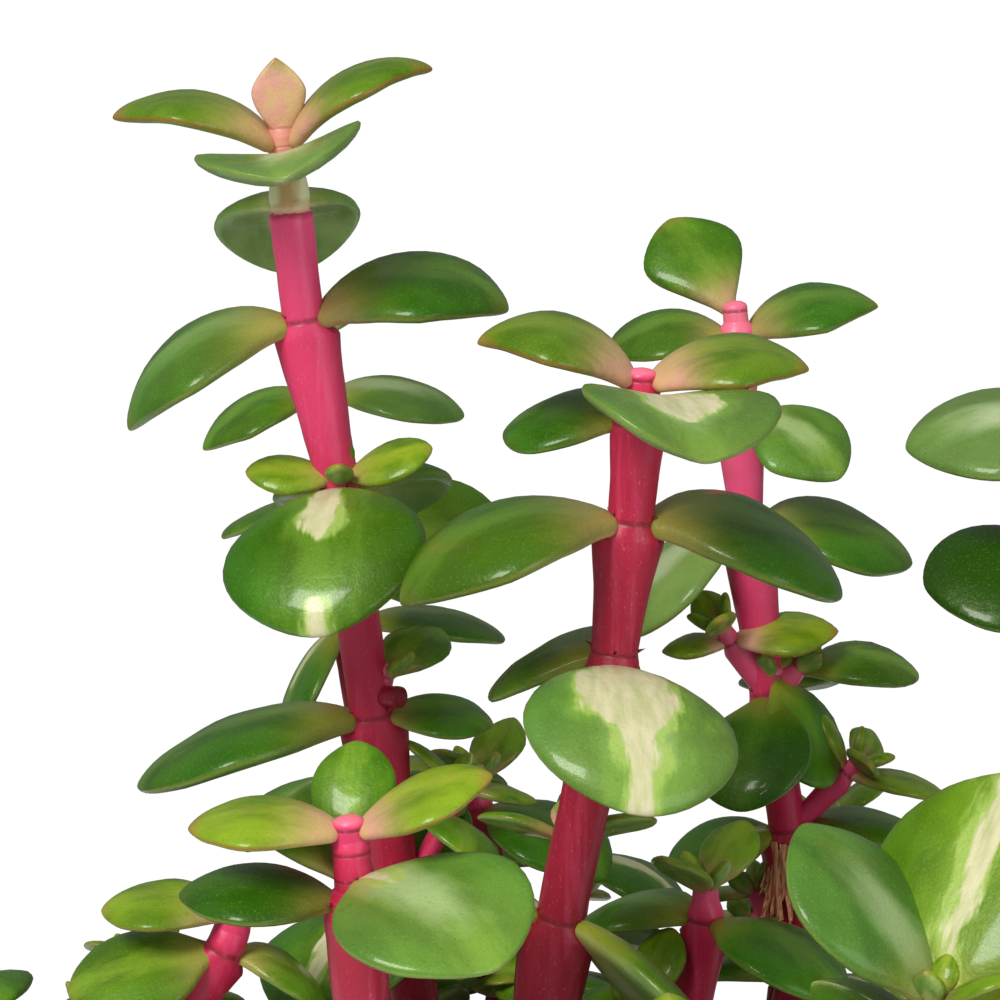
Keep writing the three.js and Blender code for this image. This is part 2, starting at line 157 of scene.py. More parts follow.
def blend(factor, first, second):
    """Two colours mixed by a number or a wire."""
    tree = next(w.tree for w in (factor, first, second) if isinstance(w, Wire))
    return wired(tree, "ShaderNodeMix", {"data_type": "RGBA"},
                 {0: factor, 6: first, 7: second}, 2)


def grain(tree, place, scale, detail=2.0, rough=0.5, warp=0.0):
    """Even noise, about 0.5 in the middle, at that many grains to the metre."""
    return wired(tree, "ShaderNodeTexNoise", {"noise_dimensions": "3D"},
                 {"Vector": place, "Scale": scale, "Detail": detail, "Roughness": rough,
                  "Distortion": warp})


def new_surface(name):
    """An empty material and the object's own coordinates in it."""
    material = bpy.data.materials.new(name)
    material.use_nodes = True
    material.node_tree.nodes.clear()
    place = wired(material.node_tree, "ShaderNodeTexCoord", {}, {}, 3)
    return material, material.node_tree, place


def finish_surface(tree, sockets):
    """The one shader of a surface, joined to the output."""
    shader = wired(tree, "ShaderNodeBsdfPrincipled", {}, sockets)
    wired(tree, "ShaderNodeOutputMaterial", {}, {"Surface": shader})


def bumped(tree, height, strength, depth):
    """Relief that the light shows and the mesh doesn't have."""
    return wired(tree, "ShaderNodeBump", {},
                 {"Strength": strength, "Distance": depth, "Height": height})


def piece(name, corners, faces, material, smooth=True, marks=None):
    """A mesh object at the origin from corners in millimetres, with numbers kept per corner."""
    mesh = bpy.data.meshes.new(name)
    mesh.from_pydata([Vector(corner) * MM for corner in corners], [], faces)
    mesh.materials.append(material)
    mesh.polygons.foreach_set("use_smooth", [smooth] * len(mesh.polygons))
    for mark, values in (marks or {}).items():
        mesh.attributes.new(mark, "FLOAT", "POINT").data.foreach_set("value", values)
    mesh.update()
    made = bpy.data.objects.new(name, mesh)
    bpy.context.scene.collection.objects.link(made)
    return made


def baked(made, name):
    """The object as its modifiers leave it, as a plain mesh, in place of the first one."""
    tree = bpy.context.evaluated_depsgraph_get()
    mesh = bpy.data.meshes.new_from_object(made.evaluated_get(tree), depsgraph=tree)
    mesh.name = name
    bpy.data.objects.remove(made)
    plain = bpy.data.objects.new(name, mesh)
    bpy.context.scene.collection.objects.link(plain)
    return plain


def tube_faces(start, rows, sides):
    """Faces between rings of corners that follow each other, with both ends closed."""
    faces = []
    for low in range(start, start + (rows - 1) * sides, sides):
        for k in range(sides):
            after = (k + 1) % sides
            faces.append((low + k, low + after, low + sides + after, low + sides + k))
    end = start + (rows - 1) * sides
    return faces + [tuple(range(start + sides - 1, start - 1, -1)), tuple(range(end, end + sides))]


def rounded(profile, radius):
    """A turned outline with each of its corners eased over that radius."""
    points = [Vector(p) for p in profile]
    eased = [points[0]]
    for before, corner, after in zip(points, points[1:], points[2:]):
        reach = min(radius, (before - corner).length / 2.2, (after - corner).length / 2.2)
        start = corner + (before - corner).normalized() * reach
        end = corner + (after - corner).normalized() * reach
        for k in range(EASE_STEPS + 1):
            u = k / EASE_STEPS
            eased.append(start * (1 - u) ** 2 + corner * 2 * u * (1 - u) + end * u * u)
    return eased + [points[-1]]


def turned(outline, sides, wander=None):
    """Corners and faces of an outline turned about Z, closed at both ends on the axis."""
    corners = [(0, 0, outline[0][1])]
    faces = []
    rings = outline[1:-1]
    for radius, z in rings:
        for k in range(sides):
            turn = 2 * math.pi * k / sides
            reach = radius + (wander(turn, z) if wander else 0)
            corners.append((reach * math.cos(turn), reach * math.sin(turn), z))
    corners.append((0, 0, outline[-1][1]))
    last = len(corners) - 1
    for k in range(sides):
        after = (k + 1) % sides
        faces.append((0, 1 + after, 1 + k))
        for row in range(len(rings) - 1):
            low = 1 + row * sides
            high = low + sides
            faces.append((low + k, low + after, high + after, high + k))
        faces.append((last - sides + k, last - sides + after, last))
    return corners, faces


def inner_radius(z):
    """Radius of the pot's hollow at that height."""
    slope = (COLLAR - POT_FOOT) / (POT_HEIGHT - POT_FLOOR)
    return POT_FOOT - POT_WALL + slope * (z - POT_FLOOR)


clay, tree, place = new_surface("fired clay")
height = wired(tree, "ShaderNodeSeparateXYZ", {}, {0: place}, 2)
drift = grain(tree, place, 38, 5, 0.6, 0.6)
speck = grain(tree, place, 900, 3, 0.7)
body = blend(drift.ramp(0.3, 0.72), dye("#a95a38"), dye("#c67a52"))
body = blend(speck.ramp(0.6, 0.78) * 0.5, body, dye("#7d3f28"))
body = blend((1 - speck).ramp(0.62, 0.8) * 0.45, body, dye("#dca283"))
lime = grain(tree, place, 70, 6, 0.72, 1.2).ramp(0.5, 0.78)
body = blend(lime * (1 - height.ramp(0.004, 0.05)) * 0.55, body, dye("#d9c6b0"))
body = blend(lime * height.ramp(0.07, 0.094) * 0.35, body, dye("#cdb59c"))
damp = grain(tree, place, 26, 4, 0.55).ramp(0.48, 0.66) * height.ramp(0.02, 0.06)
body = blend(damp * 0.3, body, dye("#7a4029"))
wheel = (height * 2600 + drift * 3).sin() * 0.5 + 0.5
tooth = speck * 0.5 + wheel * 0.28 + drift * 0.3
finish_surface(tree, {
    "Base Color": body,
    "Roughness": speck * 0.15 + 0.78,
    "Normal": bumped(tree, tooth, 0.55, 0.0004),
})

collar_foot = POT_HEIGHT - COLLAR_HEIGHT
outline = rounded([
    (0, 0), (POT_FOOT - 0.4, 0), (POT_SHOULDER - 0.4, collar_foot - RIM_ROUND / 2),
    (COLLAR - RIM_ROUND / 2, collar_foot + 0.2), (COLLAR + RIM_ROUND / 2, POT_HEIGHT - 0.8),
    (COLLAR - RIM_ROUND, POT_HEIGHT), (inner_radius(POT_HEIGHT) + 0.3, POT_HEIGHT),
    (inner_radius(POT_HEIGHT - 8), POT_HEIGHT - 8), (inner_radius(POT_FLOOR), POT_FLOOR),
    (0, POT_FLOOR)], EDGE_ROUND)
stations = [outline[0]]
for before, after in zip(outline, outline[1:]):
    cuts = max(1, round((after - before).length / STATION_STEP))
    stations += [before.lerp(after, k / cuts) for k in range(1, cuts + 1)]


def thrown(turn, z):
    """How far a potter's wheel and fingers leave the wall from a true circle."""
    spin = Vector((math.cos(turn) * 1.3, math.sin(turn) * 1.3, z * 0.02))
    return HAND_WANDER * noise.noise(spin) + TURNING_MARKS * math.sin(z * 0.9 + turn)


corners, faces = turned(stations, POT_SIDES, thrown)
pot = piece("clay_pot", corners, faces, clay)
drills = []
for k in range(DRAIN_COUNT):
    turn = 2 * math.pi * k / DRAIN_COUNT
    middle = Vector((math.cos(turn), math.sin(turn), 0)) * DRAIN_OFFSET
    corners = []
    for z in (-3, POT_FLOOR + 3):
        for n in range(DRAIN_SIDES):
            turn = 2 * math.pi * n / DRAIN_SIDES
            corners.append(middle + Vector((DRAIN_RADIUS * math.cos(turn),
                                            DRAIN_RADIUS * math.sin(turn), z)))
    drills.append(piece(f"drill_{k}", corners, tube_faces(0, 2, DRAIN_SIDES), clay, False))
    cut = pot.modifiers.new(f"drain hole {k}", "BOOLEAN")
    cut.operation = "DIFFERENCE"
    cut.solver = "EXACT"
    cut.object = drills[-1]
pot = baked(pot, "clay_pot")
for drill in drills:
    bpy.data.objects.remove(drill)
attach(pot, "root")
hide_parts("pot")


# ---- the soil ------------------------------------------------------------------------
# A free-draining mix for succulents: dark peat and leaf mould, pressed down a little under the
# pot's rim, with white perlite, grey grit and flakes of bark lying loose on the top.
SOIL_TOP = 84
SOIL_GAP = 0.3
SOIL_WAIST = 45
SOIL_SIDES = 120
SOIL_RINGS = 46
EDGE_DIP = 0.8


def soil_height(x, y):
    """Height of the soil's top, from its broad swell down to its crumbs."""
    swell = 1.1 * math.sin(x * 0.31 + 1) * math.cos(y * 0.27 - 0.6)
    lump = noise.noise(Vector((x * 0.22, y * 0.22, 3)))
    crumb = noise.turbulence(Vector((x * 0.7, y * 0.7, 9)), 3, False)
    return SOIL_TOP + 0.3 + 0.7 * swell + 0.7 * lump + 0.7 * crumb


peat, tree, place = new_surface("potting soil")
crumbs = grain(tree, place, 700, 6, 0.75)
patches = grain(tree, place, 90, 4, 0.6)
body = blend(crumbs.ramp(0.35, 0.7), dye("#1e1611"), dye("#4a382a"))
body = blend(patches.ramp(0.5, 0.75) * 0.5, body, dye("#2c2018"))
body = blend(crumbs.ramp(0.68, 0.76) * 0.6, body, dye("#7b6247"))
finish_surface(tree, {
    "Base Color": body,
    "Roughness": crumbs * 0.2 + 0.78,
    "Normal": bumped(tree, crumbs + patches * 0.4, 0.9, 0.0008),
})
rim = inner_radius(SOIL_TOP) - SOIL_GAP
corners = []
faces = []
for ring in range(SOIL_RINGS):
    share = (1 - ring / SOIL_RINGS) ** 0.9
    for k in range(SOIL_SIDES):
        turn = 2 * math.pi * k / SOIL_SIDES
        x, y = rim * share * math.cos(turn), rim * share * math.sin(turn)
        corners.append((x, y, soil_height(x, y) - (EDGE_DIP if ring == 0 else 0)))
corners.append((0, 0, soil_height(0, 0)))
top = len(corners) - 1
for z in (SOIL_WAIST, POT_FLOOR + SOIL_GAP):
    reach = inner_radius(z) - SOIL_GAP
    for k in range(SOIL_SIDES):
        turn = 2 * math.pi * k / SOIL_SIDES
        corners.append((reach * math.cos(turn), reach * math.sin(turn), z))
corners.append((0, 0, POT_FLOOR + SOIL_GAP))
for k in range(SOIL_SIDES):
    after = (k + 1) % SOIL_SIDES
    for ring in range(SOIL_RINGS - 1):
        low, high = ring * SOIL_SIDES, (ring + 1) * SOIL_SIDES
        faces.append((low + k, low + after, high + after, high + k))
    faces.append((top - SOIL_SIDES + k, top - SOIL_SIDES + after, top))
    wall = top + 1
    faces.append((after, k, wall + k, wall + after))
    faces.append((wall + after, wall + k, wall + SOIL_SIDES + k, wall + SOIL_SIDES + after))
    faces.append((wall + SOIL_SIDES + after, wall + SOIL_SIDES + k, len(corners) - 1))
soil = piece("potting_soil", corners, faces, peat)
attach(soil, "root")
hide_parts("soil")


# ---- the grit on the soil --------------------------------------------------------------
# Loose pieces of the mix that lie on its top: puffed white perlite, grey stone grit and brown
# flakes of bark. Each lies where it fell, part sunk in the peat.
BED_RINGS = 24
BED_SIDES = 60
BED_MARGIN = 1.4


class Shape:
    """A Geometry Nodes tree being put together, with named inputs and one way out."""

    def __init__(self, name, inputs):
        self.tree = bpy.data.node_groups.new(name, "GeometryNodeTree")
        face = self.tree.interface
        face.new_socket("Geometry", in_out="INPUT", socket_type="NodeSocketGeometry")
        for label, value in inputs.items():
            kind = {float: "NodeSocketFloat", int: "NodeSocketInt"}.get(type(value))
            made = face.new_socket(label, in_out="INPUT", socket_type=kind or "NodeSocketMaterial")
            if kind:
                made.default_value = value
        face.new_socket("Geometry", in_out="OUTPUT", socket_type="NodeSocketGeometry")
        self.entry = self.tree.nodes.new("NodeGroupInput")

    def given(self, label):
        return Wire(self.entry.outputs[label])

    def node(self, kind, settings=None, inputs=None, out=0):
        return wired(self.tree, kind, settings or {}, inputs or {}, out)

    def read(self, name, kind="FLOAT"):
        return self.node("GeometryNodeInputNamedAttribute", {"data_type": kind}, {"Name": name})

    def keep(self, geometry, name, value):
        return self.node("GeometryNodeStoreNamedAttribute", {"data_type": "FLOAT"},
                         {"Geometry": geometry, "Name": name, "Value": value})

    def joined(self, parts):
        node = self.tree.nodes.new("GeometryNodeJoinGeometry")
        for part in parts:
            self.tree.links.new(part.socket, node.inputs[0])
        return Wire(node.outputs[0])

    def leave(self, geometry, material):
        """Real mesh, smooth, in its material: what the tree gives back."""
        real = self.node("GeometryNodeRealizeInstances", {}, {0: geometry})
        smooth = self.node("GeometryNodeSetShadeSmooth", {}, {"Geometry": real})
        dressed = self.node("GeometryNodeSetMaterial", {},
                            {"Geometry": smooth, "Material": material})
        exit_ = self.tree.nodes.new("NodeGroupOutput")
        self.tree.links.new(dressed.socket, exit_.inputs[0])

    def grown_on(self, base, name, values):
        """The plain mesh that the tree makes of an object, which goes away."""
        modifier = base.modifiers.new(self.tree.name, "NODES")
        modifier.node_group = self.tree
        for item in self.tree.interface.items_tree:
            if item.item_type == "SOCKET" and item.in_out == "INPUT" and item.name in values:
                modifier[item.identifier] = values[item.name]
        return baked(base, name)


grit = Shape("loose grit", {"Grains": 1.0, "Least": 0.5, "Most": 1.0, "Flatness": 0.7,
                            "Roughness": 0.3, "Seed": 1, "Surface": None})
spread = grit.node("GeometryNodeDistributePointsOnFaces", {"distribute_method": "RANDOM"}, {
    "Mesh": grit.given("Geometry"), "Density": grit.given("Grains"), "Seed": grit.given("Seed")})
ball = grit.node("GeometryNodeMeshIcoSphere", {}, {"Radius": 1.0, "Subdivisions": 2})
turn = grit.node("FunctionNodeRandomValue", {"data_type": "FLOAT_VECTOR"}, {
    0: (-0.5, -0.5, 0.0), 1: (0.5, 0.5, 6.28), "Seed": grit.given("Seed")})
size = grit.node("FunctionNodeRandomValue", {"data_type": "FLOAT"}, {
    2: grit.given("Least"), 3: grit.given("Most"), "Seed": grit.given("Seed") + 5}, 1)
long = grit.node("FunctionNodeRandomValue", {"data_type": "FLOAT"}, {
    2: 0.7, 3: 1.5, "Seed": grit.given("Seed") + 9}, 1)
stretch = grit.node("ShaderNodeCombineXYZ", {}, {
    0: size * long, 1: size, 2: size * grit.given("Flatness")})
laid = grit.node("GeometryNodeInstanceOnPoints", {}, {
    "Points": spread, "Instance": ball, "Rotation": turn, "Scale": stretch})
real = grit.node("GeometryNodeRealizeInstances", {}, {0: laid})
lump = grit.node("ShaderNodeTexNoise", {}, {"Scale": 1100.0, "Detail": 1.0,
                                            "Vector": grit.node("GeometryNodeInputPosition")}, 1)
push = grit.node("ShaderNodeVectorMath", {"operation": "SUBTRACT"}, {0: lump, 1: (0.5, 0.5, 0.5)})
shift = grit.node("ShaderNodeVectorMath", {"operation": "SCALE"}, {
    0: push, 3: grit.given("Roughness") * grit.given("Most")})
grit.leave(grit.node("GeometryNodeSetPosition", {}, {"Geometry": real, "Offset": shift}),
           grit.given("Surface"))

# Pale and dark colour, grains to the square metre, least and most radius, flatness, roughness
# and seed of each kind.
GRIT_KINDS = {
    "perlite": ("#efece2", "#cfcabb", 26000.0, 0.35, 1.0, 0.85, 0.9, 11),
    "stone_grit": ("#8d877c", "#5b564e", 30000.0, 0.3, 0.8, 0.7, 0.6, 23),
    "bark_flakes": ("#6d4a30", "#3b2616", 24000.0, 0.5, 1.6, 0.28, 0.5, 37),
}
bed_corners = []
bed_faces = []
for ring in range(BED_RINGS):
    reach = (rim - BED_MARGIN) * (1 - ring / BED_RINGS)
    for k in range(BED_SIDES):
        turn = 2 * math.pi * k / BED_SIDES
        x, y = reach * math.cos(turn), reach * math.sin(turn)
        bed_corners.append((x, y, soil_height(x, y)))
        if ring:
            high, after = ring * BED_SIDES, (k + 1) % BED_SIDES
            low = high - BED_SIDES
            bed_faces.append((low + k, low + after, high + after, high + k))
for name, (pale, dark, grains, least, most, flat, ragged, seed) in GRIT_KINDS.items():
    surface, tree, place = new_surface(name.replace("_", " "))
    spots = grain(tree, place, 600, 3, 0.6)
    finish_surface(tree, {
        "Base Color": blend(spots.ramp(0.35, 0.68), dye(dark), dye(pale)),
        "Roughness": spots * 0.2 + 0.7,
        "Normal": bumped(tree, spots, 0.6, 0.0003),
    })
    bed = piece("bed", bed_corners, bed_faces, surface)
    loose = grit.grown_on(bed, name, {
        "Grains": grains, "Least": least * MM, "Most": most * MM, "Flatness": flat,
        "Roughness": ragged, "Seed": seed, "Surface": surface})
    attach(loose, "root")


# ---- the plan of the plant -------------------------------------------------------------
# The bush is a thicket of stems that stand side by side in the soil. Every joint of a stem bears
# two leaves across from each other, a quarter turn on from the pair below, and side shoots grow
# from the corners above the leaves.
STEM_FOOT = 78
STEM_SIDES = 6
LOW_STEM_SIDES = 5
SHOOT_SIDES = 4
FLARE = 1.5
PINCH = 0.84
CROWDED = 0.4
FLARE_DROP = 1.2
PINCH_RISE = 0.9
JOINT_SHARE = 0.3
FULL_SWELL = 6
SHOOT_GIRTH = 2.1
SHOOT_END = 0.75
LEAF_WIDTH = 0.88
YOUNG_WIDTH = 0.72
YOUNG_LENGTH = 9
LEAF_THICKNESS = 0.15
THINNEST_LEAF = 1.25
DROOP = -0.05
NECK = 0.24
FOOT_FULLNESS = 0.7
WIDEST = 0.56
FULL_FROM = 0.4
ROUND_CURVE = 2.1
ROUND_END = 0.6
FINE_FROM = 125
ROOT_DEPTH = 0.25
LEAF_STEPS = 5
LOW_LEAF_STEPS = 4
SHOOT_LEAF_STEPS = 3
YIELDS = [
    (0, 0, 1), (12, 0, 1), (-12, 0, 1), (0, 16, 1), (0, -16, 1), (22, 0, 0.9), (-22, 0, 0.9),
    (8, 30, 0.85), (8, -30, 0.85), (34, 0, 0.8), (-30, 0, 0.75), (48, 20, 0.75), (0, 0, 0.6),
    (20, 45, 0.6), (20, -45, 0.6), (60, 0, 0.6),
]
# A joint is x, y, z, turn of its first leaf (0 = right, 90 = back), length, lift and curl of each
# leaf, then rolls and how far the edges are cupped up, where they don't droop. A shoot is its
# joint's number, its turn, its rise, and for each of its own joints the distance, the turn of the
# first leaf, and length, lift and curl of each leaf.
STEMS = [
    {"name": "tall_left", "thick": 4.6, "thin": 3.5, "joints": [
        [-2, 2, 78],
        [-4.5, 1.5, 97, 60, 17, 20, 60, 17, 20, 60],
        [-6.5, 1, 113, 150, 18, 15, 60, 18, 15, 60],
        [-9, 0.5, 130.5, 60, 18, 20, 70, 18, 20, 70],
        [-11.4, 0, 148.2, 181, 21.5, 12, 44, 10, 8, 40, -3, -10],
        [-14.1, 0, 168.4, 264, 20, 8, 70, 19, 15, 70],
        [-17, 0, 183.5, 0, 18.5, 38, 86, 18.5, 15, 78, -14, 14],
        [-18.1, 0, 193.7, 98, 15, 19, 100, 0, 0, 0],
        [-18.4, 0, 197.4, 273, 16, 5, 14, 0, 0, 0, -5, 0, 0.15],
        [-18.6, 0, 198.7, 0, 15, 60, 76, 15.3, 55, 76, -6, 6],
        [-18.7, 0, 200, 275, 6.5, 88, 5, 5, 75, 5],
    ], "shoots": [
        [3, 15, 62, [[9, 285, 9.5, 15, 40, 9, 25, 30], [12, 15, 7, 30, 30, 7, 30, 30]]],
        [4, 355, 75, [[4, 60, 8.8, 45, 40, 0, 0, 0]]],
        [5, 275, 62, [[1.8, 2, 8.4, 34, 16, 7.8, 14, 20]]],
    ]},
    {"name": "centre", "thick": 4.9, "thin": 3.7, "joints": [
        [0, -14, 78],
        [1.5, -15, 96, 30, 17, 15, 60, 17, 15, 60],
        [1.8, -16.5, 114, 110, 18, 15, 60, 18, 15, 60],
        [5, -18, 135.5, -15, 20, -20, 30, 14, 10, 60, 30, 0],
        [9.2, -18, 156.8, 276, 19.5, 12, 66, 0, 0, 0],
        [9.3, -18, 158, 128, 14.5, -4, 42, 0, 0, 0, 22],
        [10.6, -18, 169.1, 10, 19.5, 18, 68, 20, 10, 68, -12, 4],
        [11.2, -18, 177.4, 150, 12, 8, 40, 0, 0, 0, 24],
        [11.3, -18, 178.6, 283, 17.5, 16, 40, 0, 0, 0, 0, 0, 0.12],
        [11.4, -18, 180.6, 0, 13.6, 40, 64, 14.2, 54, 84, -12, 12],
    ], "shoots": [
        [3, 80, 62, [[7, 350, 7.5, 30, 30, 7.5, 25, 30]]],
    ]},
    {"name": "right", "thick": 4.4, "thin": 3.2, "joints": [
        [20, 13, 78],
        [24.5, 17, 96, 45, 16, 15, 60, 16, 15, 60],
        [30, 21, 116, 140, 16, 15, 60, 16, 15, 60],
        [28.3, 22, 131, 178, 11.5, 5, 30, 14, 15, 60, 18, 0],
        [26.1, 22, 144.8, 247, 13.5, -22, 30, 12, 15, 60],
        [23.8, 22, 161.5, 188, 16, -12, 50, 16.5, 2, 46, 8, -18],
        [22.9, 22, 172, 325, 11.5, 0, 60, 12, 15, 60, -25],
        [22.6, 22, 179.8, 0, 13.5, 40, 62, 12.5, 30, 70, -16, 16],
        [22.4, 22, 182, 126, 12.3, 52, 10, 0, 0, 0, 22],
    ], "shoots": [
        [4, 200, 55, [[7, -5, 10, -14, 20, 6.5, 35, 30], [8.6, 95, 5, 50, 30, 5, 50, 30]]],
        [4, -10, 45, [[4, 0, 12, 72, 60, 0, 0, 0]]],
        [4, 300, 74, [[2.2, 318, 11.8, -36, 20, 0, 0, 0]]],
        [3, -10, 48, [[8.4, 166, 6.5, 40, 34, 9.5, 50, 35], [9.8, 80, 6, 30, 20, 6, 30, 20]]],
    ]},
    {"name": "front_left", "thick": 4.8, "thin": 3.6, "joints": [
        [-10, -26, 78],
        [-10.5, -31, 95, 20, 16, 15, 60, 16, 15, 60],
        [-10, -36, 112, 110, 17, 15, 60, 17, 15, 60],
        [-10, -40, 129, -10, 17, 5, 40, 14, 15, 60],
        [-10.8, -42, 145, 180, 12.2, 20, 30, 0, 0, 0, 2, 0],
        [-10.8, -42, 146.6, 308, 17, 9, 35, 10, 45, 50, -12, 0, 0.04],
        [-11, -42, 148.8, 85, 9, 72, 40, 0, 0, 0],
        [-11.1, -42, 150.4, 178, 11.6, 26, 42, 11, 36, 32, 4, -8],
    ], "shoots": []},
    {"name": "behind_left", "thick": 4, "thin": 2.6, "joints": [
        [-8, 22, 78],
        [-9, 24, 98, 30, 16, 15, 60, 16, 15, 60],
        [-11, 26, 116, 120, 16, 15, 60, 16, 15, 60],
        [-13, 29, 134, 40, 16, 15, 60, 16, 15, 60],
        [-14.6, 30, 150, 190, 14, -35, 40, 15, 6, 40],
        [-15.9, 30, 161.5, -25, 17, -8, 36, 13, 16, 50, -40],
        [-17.5, 30, 173, 2, 13.8, 5, 46, 12.8, 12, 56, -10, 12],
        [-18.4, 30, 178.7, 10, 9.4, 42, 40, 6, 30, 40],
    ], "shoots": []},
    {"name": "far_right", "thick": 4.5, "thin": 3.4, "joints": [
        [26, -4, 78],
        [34, -6, 96, 20, 16, 15, 60, 16, 15, 60],
        [41, -8, 114, 110, 16, 15, 60, 16, 15, 60],
        [46.5, -9, 132, 10, 16, 15, 60, 12, 15, 60],
        [50, -10, 149, 90, 12, 15, 60, 13, 15, 60],
        [51.4, -10, 162.6, 183, 14.8, 12, 35, 18, 20, 60, 32, 0],
        [52, -10, 176, 175, 17.2, 5, 30, 16, 20, 60, 20],
        [52.4, -10, 184, 90, 14, 30, 50, 14, 30, 50],
        [52.5, -10, 187, 0, 7, 60, 10, 7, 60, 10],
    ], "shoots": []},
    {"name": "front_right", "thick": 4.4, "thin": 3.2, "joints": [
        [20, -28, 78],
        [26, -34, 94, 20, 15, 15, 60, 15, 15, 60],
        [30, -38, 111, 110, 16, 15, 60, 16, 15, 60],
        [32, -39.5, 126, 30, 16, 15, 60, 16, 15, 60],
        [32.9, -40, 132.6, -30, 15, 20, 40, 10, 30, 30],
        [33, -40, 134.8, 56, 21, 62, 18, 0, 0, 0],
        [33, -40, 136.6, 146, 16.4, 56, 20, 7, 40, 20, 4],
    ], "shoots": []},
    {"name": "low_left", "thick": 4.2, "thin": 3, "joints": [
        [-18, -12, 78],
        [-24, -15, 95, 20, 15, 15, 60, 15, 15, 60],
        [-28, -18, 112, 110, 15, 15, 60, 15, 15, 60],
        [-26.5, -20, 127, 20, 12, 15, 60, 12, 15, 60],
        [-23, -20, 133.4, 196, 12.4, -33, 10, 10, 20, 60, 14],
        [-21.8, -20, 136.4, 176, 11, 2, 46, 8, 50, 30, 8],
    ], "shoots": []},
]
LOW_STEMS = [
    ("front_centre", 8, -35, 14, -50, 131, 4),
    ("back_centre", 6, 34, 8, 44, 121, 3),
    ("back_right", 24, 30, 35, 43, 123, 3),
    ("back_left", -26, 26, -38, 37, 109, 3),
    ("side_left", -34, 4, -53, 8, 119, 3),
    ("side_right", 37, 12, 60, 20, 128, 4),
    ("middle", 6, 4, -3, 12, 136, 3),
    ("right_centre", 14, -4, 18, -5, 131, 3),
]
LOW_THICK = 4.2
LOW_THIN = 2.8
SEED = 48817
state = SEED


def draw(low, high):
    """The next number of the plant's own fixed run of chances."""
    global state
    state = (state * 48271) % 2147483647
    return low + ((high - low) * state) / 2147483647


def headed(turn, axis):
    """The level heading of that turn, laid square to a stem."""
    heading = Vector((math.cos(math.radians(turn)), math.sin(math.radians(turn)), 0))
    return (heading - axis * heading.dot(axis)).normalized()


def axis_at(points, k):
    """The way a stem runs at its joint k, halfway between the lengths that meet there."""
    axis = Vector()
    if k > 0:
        axis += (points[k] - points[k - 1]).normalized()
    if k < len(points) - 1:
        axis += (points[k + 1] - points[k]).normalized()
    return axis.normalized()


def rings_of(points, girths, turns):
    """A stem's rings from foot to tip: each joint flares below its leaves and is pinched above."""
    rings = []
    last = len(points) - 1
    for k, point in enumerate(points):
        axis = axis_at(points, k)
        below = (point - points[k - 1]).length if k > 0 else 0
        above = (point - points[k + 1]).length if k < last else 0
        out = headed(turns[k], axis)
        if k > 0:
            drop = min(FLARE_DROP, below * JOINT_SHARE)
            flare = 1 + (FLARE - 1) * min(below / FULL_SWELL, 1)
            rings.append((point - axis * drop, axis, out, girths[k] / 2, flare))
        rise = SHOOT_END if k == last else min(PINCH_RISE, above * JOINT_SHARE)
        pinch = 1 if k == 0 else 1 - (1 - PINCH) * min(above / FULL_SWELL, 1)
        rings.append((point + axis * (0 if k == 0 else rise), axis, out, pinch * girths[k] / 2, 1))
    return rings


def ring_corners(ring, sides):
    """Corners of one ring; its flare stretches it towards the leaves."""
    centre, axis, out, radius, flare = ring
    first = (Vector((1, 0, 0)) - axis * axis.x).normalized()
    second = axis.cross(first)
    corners = []
    for k in range(sides):
        turn = 2 * math.pi * k / sides
        offset = first * radius * math.sin(turn) - second * radius * math.cos(turn)
        corners.append(centre + offset + out * offset.dot(out) * (flare - 1))
    return corners


def outline_at(t):
    """Half the width of a leaf from stalk to tip, as a share of its broadest."""
    if t < WIDEST:
        return NECK + (1 - NECK) * math.sin(math.pi / 2 * t / WIDEST)
    return max(1 - ((t - WIDEST) / (1 - WIDEST)) ** ROUND_CURVE, 0) ** ROUND_END


def fullness_at(t):
    """Thickness of a leaf from stalk to tip, as a share of its deepest."""
    body = FOOT_FULLNESS + (1 - FOOT_FULLNESS) * math.sin(math.pi / 2 * min(t / FULL_FROM, 1))
    return body * math.sqrt(max(1 - t ** 4, 0))


def leaf_spots(leaf):
    """The leaf's tip and the corners of its coarse rings, by which it is known again."""
    out = headed(leaf["turn"], leaf["axis"])
    side = out.cross(leaf["axis"])
    lift, roll = math.radians(leaf["lift"]), math.radians(leaf["roll"])
    curl = math.radians(max(leaf["curl"], 1))
    spots = []
    for step in range(1, leaf["steps"] + 1):
        t = (1 - math.cos(math.pi * step / leaf["steps"])) / 2
        bend = lift - curl * t
        along = leaf["length"] * (math.sin(lift) - math.sin(bend)) / curl
        rise = leaf["length"] * (math.cos(bend) - math.cos(lift)) / curl
        centre = leaf["root"] + out * along + leaf["axis"] * rise
        if step == leaf["steps"]:
            spots.append(centre)
            break
        face = leaf["axis"] * math.cos(bend) - out * math.sin(bend)
        edge = side * math.cos(roll) + face * math.sin(roll)
        normal = face * math.cos(roll) - side * math.sin(roll)
        wide = outline_at(t) * leaf["breadth"] / 2
        deep = fullness_at(t) * leaf["depth"] / 2
        cup = leaf["cup"] * leaf["breadth"] * outline_at(t)
        spots += [centre + edge * wide + normal * cup, centre - edge * wide + normal * cup,
                  centre + normal * deep, centre - normal * deep]
    return spots


def new_leaf(joint, axis, girth, turn, length, lift, curl, roll, cup, steps, looks):
    """A leaf before it gives way; its root stands a little out from the joint's middle."""
    root = joint + headed(turn, axis) * girth * ROOT_DEPTH
    return {"root": root, "axis": axis, "turn": turn, "length": length, "lift": lift,
            "curl": curl, "roll": roll, "cup": cup, "steps": steps, "looks": looks}


